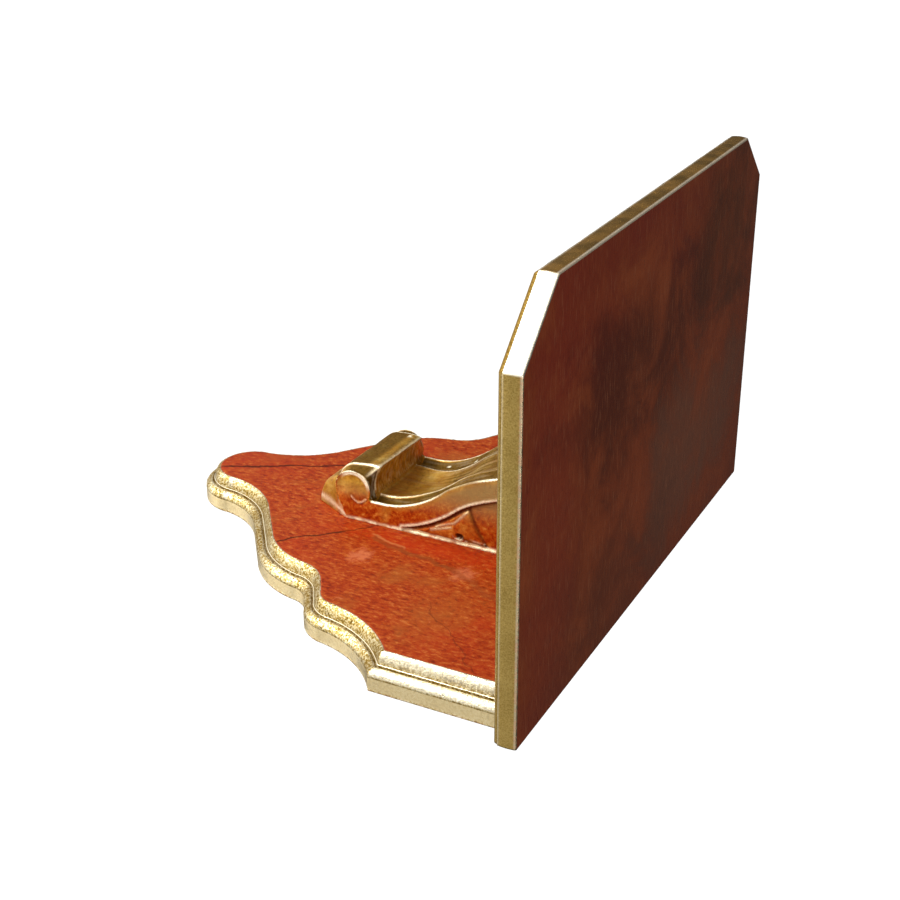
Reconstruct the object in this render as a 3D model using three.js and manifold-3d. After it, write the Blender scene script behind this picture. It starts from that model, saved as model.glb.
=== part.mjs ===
// A carved wall bracket: a shelf board with clipped corners, a serpentine back plate and a scroll console.
// Millimetres, +Z up. The wall is the plane Y = 0 and the bracket stands out of it toward -Y, so +X is
// the viewer's right. The origin is the fixing point, on the back plate's wall face.
import * as THREE from 'three';
import Module from 'manifold-3d';

// Driving dimensions of the shelf
const shelfWidth = 320;
const shelfDepth = 213;
const shelfThickness = 12;
const rightClipAcross = 34;
const rightClipBack = 33;
const leftClipAcross = 30;
const leftClipBack = 27;

// Shelf edge, from the top down: a rounded arris, a slightly swelling band, a small step, a rounded foot
const arrisRadius = 0.9;
const bandSwell = 0.4;
const bandStep = 0.8;
const footRound = 2.4;
const footHeight = 2.6;

// Driving dimensions of the back plate
const sideOverhang = 11;
const plateThickness = 19;
const plateDrop = 262;
const fixingDrop = 38;

// Back plate moulding, from the wall forward: a straight edge, a lower round, a groove, an upper round
const lowerRoundWidth = 4;
const lowerRoundHeight = 4;
const grooveWidth = 0.7;
const grooveDepth = 0.8;
const ledgeRise = 0.9;
const upperRoundWidth = 4.1;
const upperRoundHeight = 6.2;

// Driving dimensions of the console
const consoleWidth = 62;
const consoleFlare = 1.5;
const consoleDrop = 179;
const consoleProjection = 48;
const bandDepth = 12.5;
const sideRecess = 1.6;
const frontArris = 1.2;
const veinSink = 0.4;
const outerFluteDepth = 1.9;
const middleFluteDepth = 3;
const rollRadius = 12.8;
const crestHeight = 30.7;
const scrollTaper = 0.08;
const noseShare = 0.63;
const noseReach = 0.972;
const noseEndReach = 0.842;
const discRadius = 11.1;
const discRim = 0.9;
const discRecess = 0.6;
const leafGroove = 1.6;
const leafRise = 1.3;
const leafBevel = 0.9;
const leafEyeRadius = 2.2;

// How far across the console the scroll's body reaches before its ends are bevelled, as a share of half its
// width, and the angles of the scroll, in degrees about its middle from the side of the shelf
const bodyShare = 0.758;
const topAngle = 90;
const noseAngle = 194;
const noseSideAngle = 166;
const discStartAngle = -20;
const discCrestAngle = 45;
const discNoseAngle = 175;
const discLowestAngle = 205;

// Room left between pieces that touch
const fitGap = 0.3;

// Fineness of the round stretches
const stepsPerArc = 9;
const stepsPerRound = 4;
const stepsPerSweep = 13;
const stepsPerScroll = 16;
const stepsAcrossScroll = 10;

const wasm = await Module();
wasm.setup();

// Shapes in the plane

// A circular arc from one point to another. Its rise is the height of the arc over its chord, to the left
// of the way from start to end. The start isn't repeated.
function arc(start, end, rise, steps) {
  const along = new THREE.Vector2().subVectors(end, start);
  const chord = along.length();
  if (rise === 0) return [end.clone()];
  const radius = (chord * chord / 4 + rise * rise) / (2 * rise);
  const across = new THREE.Vector2(-along.y, along.x).divideScalar(chord);
  const centre = start.clone().lerp(end, 0.5).addScaledVector(across, rise - radius);
  const turn = -4 * Math.atan(2 * rise / chord);
  return Array.from({ length: steps }, (_, i) => {
    return start.clone().rotateAround(centre, turn * (i + 1) / steps);
  });
}

// A quarter of an ellipse, from one point to another, that starts along the direction given by bend: 0 to
// leave along the first axis, 1 to leave along the second.
function quarterRound(start, end, bend, steps) {
  const size = new THREE.Vector2().subVectors(end, start);
  return Array.from({ length: steps }, (_, i) => {
    const angle = Math.PI / 2 * (i + 1) / steps;
    const slow = 1 - Math.cos(angle);
    const fast = Math.sin(angle);
    const first = bend === 0 ? fast : slow;
    const second = bend === 0 ? slow : fast;
    return new THREE.Vector2(start.x + size.x * first, start.y + size.y * second);
  });
}

// Moves each side of a clockwise polygon inward by its own distance. Side i runs from point i to the next.
function insetPolygon(points, distances) {
  const leastTurn = 1e-4;
  const count = points.length;
  const normals = points.map((point, i) => {
    const side = new THREE.Vector2().subVectors(points[(i + 1) % count], point).normalize();
    return new THREE.Vector2(side.y, -side.x);
  });
  return points.map((point, i) => {
    const before = (i + count - 1) % count;
    const turn = normals[before].cross(normals[i]);
    if (Math.abs(turn) < leastTurn) return point.clone().addScaledVector(normals[i], distances[i]);
    const x = (distances[before] * normals[i].y - distances[i] * normals[before].y) / turn;
    const y = (distances[i] * normals[before].x - distances[before] * normals[i].x) / turn;
    return new THREE.Vector2(point.x + x, point.y + y);
  });
}

// Solids

// Triangles over a flat ring of points, as indices into the ring.
function capTriangles(ring) {
  const normal = new THREE.Vector3();
  ring.forEach((point, i) => normal.add(point.clone().cross(ring[(i + 1) % ring.length])));
  normal.normalize();
  const facesAcross = Math.abs(normal.x) > Math.abs(normal.y) + Math.abs(normal.z);
  const aside = facesAcross ? new THREE.Vector3(0, 1, 0) : new THREE.Vector3(1, 0, 0);
  const first = aside.cross(normal).normalize();
  const second = normal.clone().cross(first);
  const flat = ring.map((point) => new THREE.Vector2(point.dot(first), point.dot(second)));
  return THREE.ShapeUtils.triangulateShape(flat, []);
}

// A closed body through rings of equally many points, with flat ends.
function loft(rings) {
  const count = rings[0].length;
  const points = rings.flat();
  const triangles = [];
  for (let k = 0; k + 1 < rings.length; k += 1) {
    for (let i = 0; i < count; i += 1) {
      const a = k * count + i;
      const b = k * count + (i + 1) % count;
      triangles.push([a, b, b + count], [a, b + count, a + count]);
    }
  }
  const last = (rings.length - 1) * count;
  capTriangles(rings[0]).forEach(([a, b, c]) => triangles.push([a, c, b]));
  capTriangles(rings.at(-1)).forEach(([a, b, c]) => triangles.push([a + last, b + last, c + last]));
  const volume = triangles.reduce((sum, [a, b, c]) => {
    return sum + points[a].dot(points[b].clone().cross(points[c]));
  }, 0);
  const outward = volume > 0 ? triangles : triangles.map(([a, b, c]) => [a, c, b]);
  const geometry = new THREE.BufferGeometry().setFromPoints(points);
  geometry.setIndex(outward.flat());
  return geometry;
}

function toSolid(geometry) {
  const vertProperties = new Float32Array(geometry.attributes.position.array);
  const triVerts = new Uint32Array(geometry.index.array);
  return new wasm.Manifold(new wasm.Mesh({ numProp: 3, vertProperties, triVerts }));
}

function toGeometry(solid) {
  const mesh = solid.getMesh();
  const geometry = new THREE.BufferGeometry();
  geometry.setAttribute('position', new THREE.BufferAttribute(mesh.vertProperties, 3));
  geometry.setIndex(new THREE.BufferAttribute(mesh.triVerts, 1));
  return geometry;
}

// Shelf

// How far in from the full outline, and how far down from the top, the shelf's edge runs.
function shelfEdgeProfile() {
  const point = (inward, down) => new THREE.Vector2(inward, down);
  const bandFoot = point(bandSwell, shelfThickness - footHeight);
  const stepFoot = point(bandSwell + bandStep, bandFoot.y);
  return [
    point(bandSwell + arrisRadius, 0),
    ...quarterRound(point(bandSwell + arrisRadius, 0), point(bandSwell, arrisRadius), 0, 2),
    ...arc(point(bandSwell, arrisRadius), bandFoot, bandSwell, stepsPerRound),
    stepFoot,
    ...quarterRound(stepFoot, point(stepFoot.x + footRound, shelfThickness), 1, stepsPerRound),
  ];
}

function shelfGeometry() {
  const half = shelfWidth / 2;
  const plan = [
    new THREE.Vector2(-half, 0),
    new THREE.Vector2(half, 0),
    new THREE.Vector2(half, rightClipBack - shelfDepth),
    new THREE.Vector2(half - rightClipAcross, -shelfDepth),
    new THREE.Vector2(leftClipAcross - half, -shelfDepth),
    new THREE.Vector2(-half, leftClipBack - shelfDepth),
  ];
  const rings = shelfEdgeProfile().map((edge) => {
    const distances = plan.map((_, side) => (side === 0 ? 0 : edge.x));
    return insetPolygon(plan, distances).map((point) => new THREE.Vector3(point.x, point.y, -edge.y));
  });
  return loft(rings);
}

// Back plate

// Corners and ends of arcs down the right half of the outline. Across is a share of half the plate's width,
// down a share of its drop, and bow the rise of the arc that ends there, as a share of its chord.
const outlineNodes = [
  { name: 'shoulder', across: 1, down: 0.268, bow: 0 },
  { name: 'cove', across: 0.827, down: 0.433, bow: -0.107 },
  { name: 'ovolo', across: 0.741, down: 0.495, bow: 0.117 },
  { name: 'ovolo slope', across: 0.674, down: 0.519, bow: 0 },
  { name: 'notch', across: 0.631, down: 0.563, bow: -0.113 },
  { name: 'lobe', across: 0.472, down: 0.705, bow: 0.1 },
  { name: 'lobe slope', across: 0.305, down: 0.777, bow: 0 },
  { name: 'waist', across: 0.185, down: 0.895, bow: -0.098 },
  { name: 'tip', across: 0, down: 1, bow: 0.207 },
];

// The outline, clockwise as the bracket is seen from the front, from the top left corner. Its first side
// is the top end, under the shelf.
function plateOutline() {
  const half = shelfWidth / 2 - sideOverhang;
  const right = [new THREE.Vector2(half, -fitGap)];
  outlineNodes.forEach((node) => {
    const end = new THREE.Vector2(node.across * half, -node.down * plateDrop);
    const start = right.at(-1);
    const steps = node.bow === 0 ? 1 : stepsPerArc;
    right.push(...arc(start, end, node.bow * start.distanceTo(end), steps));
  });
  const left = right.slice(0, -1).map((point) => new THREE.Vector2(-point.x, point.y));
  return [left[0], ...right, ...left.slice(1).reverse()];
}

// How far in from the outline, and how far out from the wall, the moulding runs.
function mouldingProfile() {
  const point = (inward, out) => new THREE.Vector2(inward, out);
  const upperStart = point(lowerRoundWidth + grooveWidth, plateThickness - upperRoundHeight);
  const upperEnd = point(upperStart.x + upperRoundWidth, plateThickness);
  const lowerEnd = point(lowerRoundWidth, upperStart.y - ledgeRise);
  const lowerStart = point(0, lowerEnd.y - lowerRoundHeight);
  return [
    point(0, 0),
    lowerStart,
    ...quarterRound(lowerStart, lowerEnd, 1, stepsPerRound),
    point(lowerRoundWidth + grooveWidth / 2, lowerEnd.y - grooveDepth),
    upperStart,
    ...quarterRound(upperStart, upperEnd, 1, stepsPerRound),
  ];
}

function backPlateGeometry() {
  const outline = plateOutline();
  const rings = mouldingProfile().map((edge) => {
    const distances = outline.map((_, side) => (side === 0 ? 0 : edge.x));
    return insetPolygon(outline, distances).map((point) => new THREE.Vector3(point.x, -edge.y, point.y));
  });
  return loft(rings);
}

// Console. Its side view has x = how far down from the shelf and y = how far out from the back plate. The
// carving is laid out as shares of the console's drop, projection and half width.
const halfConsole = consoleWidth / 2;

// Places in the side view: shares of the drop and of the projection
const sidePlaces = {
  hollow: [0.752, 0.275],
  dip: [0.71, 0.275],
  dipHandle: [0.626, 0.275],
  bendLowHandle: [0.542, 0.469],
  bend: [0.503, 0.6],
  bendHighHandle: [0.453, 0.748],
  brow: [0.307, 1],
  frontTop: [0.14, 1],
  scrollMiddle: [0.817, 0.367],
  scrollWallHandle: [0.772, 0.44],
  scrollRoot: [0.715, 0],
  scrollRootFront: [0.715, 0.2],
  leafStalk: [0.359, 0.02],
  leafEye: [0.451, 0.09],
};

// How far down the crest, the ends of the leaf and the end of the side's field lie, as shares of the drop
const crestShare = 0.742;
const leafTopShare = 0.455;
const leafTipShare = 0.645;
const fieldTipShare = 0.65;

// Rise of the arcs over the crest and along the leaf's back, as shares of their chords
const crestBow = 0.08;
const leafBow = 0.06;

// Where the veins between the flutes stand, as shares of half the width, at the hollow and further up, and
// how much of their depth the flutes have at the hollow. Both change over the first stretch of the sweep.
const veinLowShare = 0.645;
const veinHighShare = 0.484;
const veinSweepShare = 0.35;
const leastFlute = 0.35;
const fluteSweepShare = 0.3;

function sidePoint(down, out) {
  return new THREE.Vector2(down * consoleDrop, out * consoleProjection);
}

function sidePlace(name) {
  return sidePoint(...sidePlaces[name]);
}

function placeSidePoint(point, across) {
  return new THREE.Vector3(across, -point.y, -point.x);
}

// The sweep of the front, from the hollow beside the scroll up to the shelf, as points with unit vectors
// square to it that point into the wood.
function frontSweep() {
  const bend = sidePlace('bend');
  const top = sidePlace('frontTop');
  const end = new THREE.Vector2(fitGap, top.y);
  const lower = new THREE.CubicBezierCurve(
    sidePlace('dip'), sidePlace('dipHandle'), sidePlace('bendLowHandle'), bend,
  );
  const upper = new THREE.CubicBezierCurve(bend, sidePlace('bendHighHandle'), sidePlace('brow'), top);
  const line = [
    sidePlace('hollow'),
    ...lower.getPoints(stepsPerSweep),
    ...upper.getPoints(stepsPerSweep).slice(1),
    top.clone().lerp(end, 0.5),
    end,
  ];
  return line.map((point, i) => {
    const ahead = line[Math.min(i + 1, line.length - 1)];
    const behind = line[Math.max(i - 1, 0)];
    const along = new THREE.Vector2().subVectors(ahead, behind).normalize();
    return { point, inward: new THREE.Vector2(-along.y, along.x) };
  });
}

const sweep = frontSweep();

function sunkSweep(stations, depth) {
  return stations.map(({ point, inward }) => point.clone().addScaledVector(inward, depth));
}

// A block with a given side view, from one distance across to another.
function sideBlock(outline, from, to) {
  return toSolid(loft([from, to].map((across) => outline.map((point) => placeSidePoint(point, across)))));
}

function trunk() {
  const line = sweep.map(({ point }) => point);
  const outline = [new THREE.Vector2(line[0].x, 0), ...line, new THREE.Vector2(fitGap, 0)];
  return sideBlock(outline, -halfConsole, halfConsole);
}

// How far across the two veins between the flutes stand, and how much of their full depth the flutes have,
// from 0 at the hollow to 1 at the shelf.
function veinAcross(share) {
  const way = THREE.MathUtils.smoothstep(share, 0, veinSweepShare);
  return halfConsole * THREE.MathUtils.lerp(veinLowShare, veinHighShare, way);
}

function fluteFade(share) {
  return THREE.MathUtils.lerp(leastFlute, 1, THREE.MathUtils.smoothstep(share, 0, fluteSweepShare));
}

// The floor of the three flutes across the front: pairs of distance across and depth.
function fluteFloor(share) {
  const vein = veinAcross(share);
  const edge = halfConsole - frontArris;
  const fade = fluteFade(share);
  const outer = Array.from({ length: stepsPerRound }, (_, i) => {
    const way = i / stepsPerRound;
    const depth = veinSink * way + outerFluteDepth * 4 * way * (1 - way) * fade;
    return [THREE.MathUtils.lerp(edge, vein, way), depth];
  });
  const middleSteps = 2 * stepsPerRound;
  const middle = Array.from({ length: middleSteps + 1 }, (_, i) => {
    const way = 1 - 2 * i / middleSteps;
    return [vein * way, veinSink + middleFluteDepth * (1 - way * way) * fade];
  });
  const mirrored = outer.map(([across, depth]) => [-across, depth]).reverse();
  return [...outer, ...middle, ...mirrored];
}

// Everything that the carver took out of the front. It runs a little past both ends of the sweep.
function frontFlutes() {
  const clear = 2;
  const first = sweep[0];
  const last = sweep.at(-1);
  const past = new THREE.Vector2(clear, 0);
  const stations = [
    { point: first.point.clone().add(past), inward: first.inward },
    ...sweep,
    { point: last.point.clone().sub(past), inward: last.inward },
  ];
  const rings = stations.map(({ point, inward }, i) => {
    const floor = fluteFloor(i / (stations.length - 1));
    const lid = [[floor.at(-1)[0], -clear], [floor[0][0], -clear]];
    return [...floor, ...lid].map(([across, depth]) => {
      return placeSidePoint(point.clone().addScaledVector(inward, depth), across);
    });
  });
  return toSolid(loft(rings));
}

// A point on a circle around the middle of the scroll, at so many degrees from the side of the shelf.
function aroundScroll(radius, degrees) {
  const angle = THREE.MathUtils.degToRad(degrees);
  const spoke = new THREE.Vector2(-Math.cos(angle), Math.sin(angle));
  return sidePlace('scrollMiddle').addScaledVector(spoke, radius);
}

// The same circle from one angle to another. The start isn't repeated.
function runAround(radius, from, to, steps) {
  return Array.from({ length: steps }, (_, i) => {
    return aroundScroll(radius, THREE.MathUtils.lerp(from, to, (i + 1) / steps));
  });
}

// How large the scroll is at a distance across, next to its right end. Across runs from -1 to 1, as a share
// of half the console's width.
function scrollSize(across) {
  return 1 - scrollTaper * (1 - across) / 2;
}

// Side view of the scroll's body: up the wall beside the hollow to the crest, over the roll, and down the
// nose to the back plate.
function scrollBody(across) {
  const side = across / bodyShare;
  const radius = rollRadius * scrollSize(across);
  const crest = new THREE.Vector2(crestShare * consoleDrop, crestHeight * scrollSize(across));
  const top = aroundScroll(radius, topAngle);
  const wall = new THREE.QuadraticBezierCurve(sidePlace('hollow'), sidePlace('scrollWallHandle'), crest);
  const noseStart = THREE.MathUtils.lerp(noseAngle, noseSideAngle, side * side);
  const tapered = Math.max(0, (Math.abs(across) - noseShare) / (1 - noseShare));
  const round = Math.min(1, Math.abs(across) / noseShare);
  const reach = tapered > 0
    ? THREE.MathUtils.lerp(noseReach, noseEndReach, tapered)
    : THREE.MathUtils.lerp(1, noseReach, round * round);
  return [
    ...wall.getPoints(stepsPerRound),
    ...arc(crest, top, crestBow * crest.distanceTo(top), stepsPerRound / 2),
    ...runAround(radius, topAngle, noseStart, stepsPerScroll / 2),
    ...quarterRound(aroundScroll(radius, noseStart), sidePoint(reach, 0), 0, stepsPerScroll / 2),
  ];
}

// Side view of the scroll's end: the same run of points around the disc, then straight to the back plate.
function scrollEnd(side) {
  const radius = discRadius * scrollSize(side);
  const foot = sidePoint(noseEndReach, 0);
  const lowest = aroundScroll(radius, discLowestAngle);
  const downSteps = stepsPerScroll / 4;
  const down = Array.from({ length: downSteps }, (_, i) => lowest.clone().lerp(foot, (i + 1) / downSteps));
  return [
    aroundScroll(radius, discStartAngle),
    ...runAround(radius, discStartAngle, discCrestAngle, stepsPerRound),
    ...runAround(radius, discCrestAngle, topAngle, stepsPerRound / 2),
    ...runAround(radius, topAngle, discNoseAngle, stepsPerScroll / 2),
    ...runAround(radius, discNoseAngle, discLowestAngle, stepsPerScroll / 4),
    ...down,
  ];
}

// The scroll at the foot: a roll with a rounded nose, bevelled at both ends down to the flat discs.
function scroll() {
  const inTrunk = [sidePlace('scrollRoot'), sidePlace('scrollRootFront')];
  const body = Array.from({ length: stepsAcrossScroll + 1 }, (_, i) => {
    const across = bodyShare * (2 * i / stepsAcrossScroll - 1);
    return { across, outline: scrollBody(across) };
  });
  const stations = [
    { across: -1, outline: scrollEnd(-1) },
    ...body,
    { across: 1, outline: scrollEnd(1) },
  ];
  return toSolid(loft(stations.map(({ across, outline }) => {
    return [...inTrunk, ...outline].map((point) => placeSidePoint(point, across * halfConsole));
  })));
}

// A round hole into one side, that may taper. Side is 1 or -1.
function roundHole(centre, side, mouthRadius, floorRadius, depth) {
  const clear = 0.5;
  const sides = 4 * stepsPerRound;
  const rings = [[mouthRadius, halfConsole + clear], [floorRadius, halfConsole - depth]];
  return toSolid(loft(rings.map(([radius, across]) => Array.from({ length: sides }, (_, i) => {
    const spoke = new THREE.Vector2(radius, 0).rotateAround(new THREE.Vector2(), 2 * Math.PI * i / sides);
    return placeSidePoint(spoke.add(centre), side * across);
  }))));
}

// The sunk field behind the scroll band, on one side.
function sideField(side) {
  const clear = 1;
  const line = sunkSweep(sweep.filter(({ point }) => point.x < fieldTipShare * consoleDrop), bandDepth);
  const end = line.at(-1);
  const outline = [
    new THREE.Vector2(line[0].x, -clear),
    ...line,
    new THREE.Vector2(-clear, end.y),
    new THREE.Vector2(-clear, -clear),
  ];
  return sideBlock(outline, side * (halfConsole - sideRecess), side * (halfConsole + clear));
}

// The small pointed leaf in that field, along the scroll band.
function leaf(side) {
  const within = ({ point: { x } }) => x > leafTopShare * consoleDrop && x < leafTipShare * consoleDrop;
  const upper = sunkSweep(sweep.filter(within), bandDepth + leafGroove);
  const stalk = sidePlace('leafStalk');
  const back = upper.at(-1);
  const outline = [
    ...upper,
    ...arc(back, stalk, leafBow * back.distanceTo(stalk), stepsPerRound),
  ];
  const floor = halfConsole - sideRecess;
  const inset = insetPolygon(outline, outline.map(() => leafBevel));
  const rings = [
    outline.map((point) => placeSidePoint(point, side * (floor - leafRise))),
    outline.map((point) => placeSidePoint(point, side * (floor + leafRise - leafBevel / 2))),
    inset.map((point) => placeSidePoint(point, side * (floor + leafRise))),
  ];
  return toSolid(loft(rings));
}

// Widens the block toward the back plate, so that its sides lean.
function flare(geometry) {
  const position = geometry.attributes.position;
  for (let i = 0; i < position.count; i += 1) {
    const out = -position.getY(i) / consoleProjection;
    position.setX(i, position.getX(i) * (1 + consoleFlare / halfConsole * (1 - out)));
  }
  return geometry;
}

function consoleGeometry() {
  const disc = sidePlace('scrollMiddle');
  const eye = sidePlace('leafEye');
  const sides = [-1, 1];
  let solid = trunk().subtract(frontFlutes());
  sides.forEach((side) => {
    solid = solid.subtract(sideField(side)).add(leaf(side));
  });
  solid = solid.add(scroll());
  sides.forEach((side) => {
    const field = discRadius * scrollSize(side) - discRim;
    solid = solid.subtract(roundHole(disc, side, field, field, discRecess));
    solid = solid.subtract(roundHole(eye, side, leafEyeRadius, leafEyeRadius / 3, sideRecess + leafRise));
  });
  return flare(toGeometry(solid));
}

// Assembly

function piece(name, geometry, position, material) {
  const mesh = new THREE.Mesh(geometry, material);
  mesh.name = name;
  mesh.position.copy(position);
  return mesh;
}

const darkLacquer = new THREE.MeshStandardMaterial({ color: '#5a261c', roughness: 0.3, metalness: 0 });
const redPaint = new THREE.MeshStandardMaterial({ color: '#b04820', roughness: 0.4, metalness: 0 });
const gilding = new THREE.MeshStandardMaterial({ color: '#b8924a', roughness: 0.4, metalness: 0.7 });
const shelfTop = new THREE.Vector3(0, 0, fixingDrop + shelfThickness);
const plateTop = new THREE.Vector3(0, 0, fixingDrop);
const consoleTop = new THREE.Vector3(0, -plateThickness - fitGap, fixingDrop);

const bracket = new THREE.Group();
bracket.add(
  piece('shelf', shelfGeometry(), shelfTop, darkLacquer),
  piece('back_plate', backPlateGeometry(), plateTop, redPaint),
  piece('console', consoleGeometry(), consoleTop, gilding),
);

export default bracket;
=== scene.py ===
"""Dresses the carved wall bracket: fine carving, finishes, light and camera.

Lengths in the piece classes are millimetres, because the bracket was measured so. Meshes are in metres in
the row's frame: +Z up, the wall is the plane Y = 0 and the room is toward -Y.
"""

from __future__ import annotations

import logging
import math
from dataclasses import dataclass, field
from enum import Enum, IntEnum

import bmesh
import bpy
import numpy as np
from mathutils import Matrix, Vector
from mathutils.geometry import delaunay_2d_cdt

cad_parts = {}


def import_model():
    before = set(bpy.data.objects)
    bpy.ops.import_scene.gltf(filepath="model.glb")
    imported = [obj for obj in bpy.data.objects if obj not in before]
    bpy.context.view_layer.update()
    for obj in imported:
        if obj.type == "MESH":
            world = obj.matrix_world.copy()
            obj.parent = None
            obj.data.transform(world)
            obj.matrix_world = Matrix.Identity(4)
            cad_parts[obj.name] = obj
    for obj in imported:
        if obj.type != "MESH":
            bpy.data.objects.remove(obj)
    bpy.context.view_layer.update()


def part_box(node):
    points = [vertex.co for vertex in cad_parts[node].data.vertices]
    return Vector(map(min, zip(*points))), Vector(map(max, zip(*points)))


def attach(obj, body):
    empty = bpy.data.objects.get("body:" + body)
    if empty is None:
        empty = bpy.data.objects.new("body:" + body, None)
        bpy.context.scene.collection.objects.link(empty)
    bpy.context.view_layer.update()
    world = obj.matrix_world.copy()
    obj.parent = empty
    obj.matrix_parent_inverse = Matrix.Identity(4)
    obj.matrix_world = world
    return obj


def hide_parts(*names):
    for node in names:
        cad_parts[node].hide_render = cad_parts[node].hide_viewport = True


MM = 0.001
SHELF_TOP = 50.0
SHELF_UNDERSIDE = 38.0
PLATE_FRONT = 19.0
Colour = tuple[float, float, float]
Triple = tuple[float, float, float]
LOG = logging.getLogger("bracket")


class Slot(Enum):
    """The bracket's material slots."""

    DARK_LACQUER = "dark_lacquer"
    RED_PAINT = "red_paint"
    GILDING = "gilding"


class ShelfCoat(IntEnum):
    """The shelf's finishes."""

    LACQUER = 0
    GILT = 1
    WOOD = 2


class PlateCoat(IntEnum):
    """The back plate's finishes."""

    GILT = 0
    RED = 1
    WOOD = 2


class ConsoleCoat(IntEnum):
    """The console's finishes."""

    CARVED = 0
    WOOD = 1


class Side(Enum):
    """The two ends of the console."""

    LEFT = -1
    RIGHT = 1


class Mask(Enum):
    """What is painted on the points of a mesh, for its finish to read: wear, gold, smoothness, painted
    highlights, dirt with painted shade, and painted light and shade.
    """

    WORN = "worn"
    # dirt in the hollows, together with painted shade in creases, under ledges and on surfaces turned from
    # the light
    DIRT_AND_SHADE = "dirt"
    GOLD = "gold"
    # painted highlights on arrises, rims, ridges and lines, and painted glints
    PAINTED_HIGHLIGHT = "bright"
    # painted shade on the shelf's front edge, painted light toward the front of the console's sides and on
    # the disc
    PAINTED_LIGHT_AND_SHADE = "warm"
    SMOOTH = "smooth"


def linear(colour: Colour) -> tuple[float, float, float, float]:
    """Turns a display colour of 0 to 255 into the linear colour that shaders take.

    Args:
        colour: Red, green and blue as seen on a screen.

    Returns:
        Red, green, blue and an alpha of 1.
    """
    parts = []
    for value in colour:
        share = value / 255.0
        parts.append(share / 12.92 if share <= 0.04045 else ((share + 0.055) / 1.055) ** 2.4)
    return (parts[0], parts[1], parts[2], 1.0)


def ease(values: np.ndarray, low: float, high: float) -> np.ndarray:
    """Rises smoothly from 0 at low to 1 at high, or falls where low is the larger.

    Args:
        values: Where to read the curve.
        low: Where it leaves 0.
        high: Where it reaches 1.

    Returns:
        One share for each value.
    """
    share = np.clip((np.asarray(values, float) - low) / (high - low), 0.0, 1.0)
    return share * share * (3.0 - 2.0 * share)


def peak(values: np.ndarray, width: float, middle: float = 0.0) -> np.ndarray:
    """Peaks at 1 in the middle and falls away smoothly on both sides.

    Args:
        values: Where to read the curve.
        width: How far from the middle it has fallen to about a third.
        middle: Where the peak is.

    Returns:
        One share for each value.
    """
    return np.exp(-((values - middle) / width) ** 2)


def hills(points: np.ndarray, spacing: float, seed: int) -> np.ndarray:
    """Smooth random hills through space.

    Args:
        points: Places, one a row, in the same unit as the spacing.
        spacing: About how far one hill is from the next.
        seed: Chooses the set of hills.

    Returns:
        A height for each place, from -1 to 1.
    """
    places = points / spacing + 113.7 + seed * 7.31
    cells = np.floor(places)
    within = places - cells
    within = within * within * (3.0 - 2.0 * within)
    cells = cells.astype(np.int64)
    total = np.zeros(len(points))
    for corner in np.ndindex(2, 2, 2):
        x, y, z = (cells[:, axis] + corner[axis] for axis in range(3))
        mixed = (x * 73856093) ^ (y * 19349663) ^ (z * 83492791) ^ (seed * 2654435)
        mixed = (mixed ^ (mixed >> 13)) & 0x7FFFFFFF
        mixed = (mixed * 1103515245 + 12345) & 0x7FFFFFFF
        mixed = ((mixed ^ (mixed >> 15)) * 69069) & 0x7FFFFFFF
        height = mixed / 0x3FFFFFFF - 1.0
        weight = np.ones(len(points))
        for axis in range(3):
            weight = weight * (within[:, axis] if corner[axis] else 1.0 - within[:, axis])
        total += weight * height
    return total


def near_line(points: np.ndarray, line: np.ndarray) -> tuple[np.ndarray, np.ndarray]:
    """Measures how far points in the plane lie from a line of several stretches.

    Args:
        points: Places in the plane, one a row.
        line: The line's points in order, one a row.

    Returns:
        The distance from each place to the line, and how far along the line the nearest point is, 0 to 1.
    """
    best = np.full(len(points), np.inf)
    along = np.zeros(len(points))
    lengths = np.linalg.norm(np.diff(line, axis=0), axis=1)
    starts = np.concatenate([[0.0], np.cumsum(lengths)])
    for start, end, length, before in zip(line[:-1], line[1:], lengths, starts[:-1]):
        way = end - start
        share = np.clip((points - start) @ way / max(length * length, 1e-12), 0.0, 1.0)
        distance = np.linalg.norm(points - start - share[:, None] * way, axis=1)
        closer = distance < best
        best[closer] = distance[closer]
        along[closer] = (before + share[closer] * length) / starts[-1]
    return best, along


def round_quarter(start: np.ndarray, end: np.ndarray, along_first: bool, count: int) -> np.ndarray:
    """Quarter of an ellipse between two points of a side view.

    Args:
        start: Where it begins.
        end: Where it stops.
        along_first: True to leave along the first axis, False to leave along the second.
        count: How many points follow the start.

    Returns:
        The points after the start, one a row.
    """
    angle = np.linspace(0.0, math.pi / 2.0, count + 1)[1:]
    slow = 1.0 - np.cos(angle)
    fast = np.sin(angle)
    shares = np.stack([fast, slow] if along_first else [slow, fast], axis=1)
    return start + (end - start) * shares


def spread(line: np.ndarray, count: int) -> np.ndarray:
    """Sets points evenly along a line.

    Args:
        line: The line's points in order, one a row.
        count: How many points to return.

    Returns:
        That many points, the line's two ends included.
    """
    steps = np.concatenate([[0.0], np.cumsum(np.linalg.norm(np.diff(line, axis=0), axis=1))])
    wanted = np.linspace(0.0, steps[-1], count)
    return np.stack([np.interp(wanted, steps, line[:, axis]) for axis in range(line.shape[1])], axis=1)


def bezier(handles: list[np.ndarray], count: int) -> np.ndarray:
    """Points on a curve of three or four handles.

    Args:
        handles: The start, the handles between and the end.
        count: How many points, both ends included.

    Returns:
        The points, one a row.
    """
    share = np.linspace(0.0, 1.0, count)[:, None]
    level = [np.repeat(handle[None, :], count, axis=0) for handle in handles]
    while len(level) > 1:
        level = [first * (1.0 - share) + second * share for first, second in zip(level[:-1], level[1:])]
    return level[0]


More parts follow.
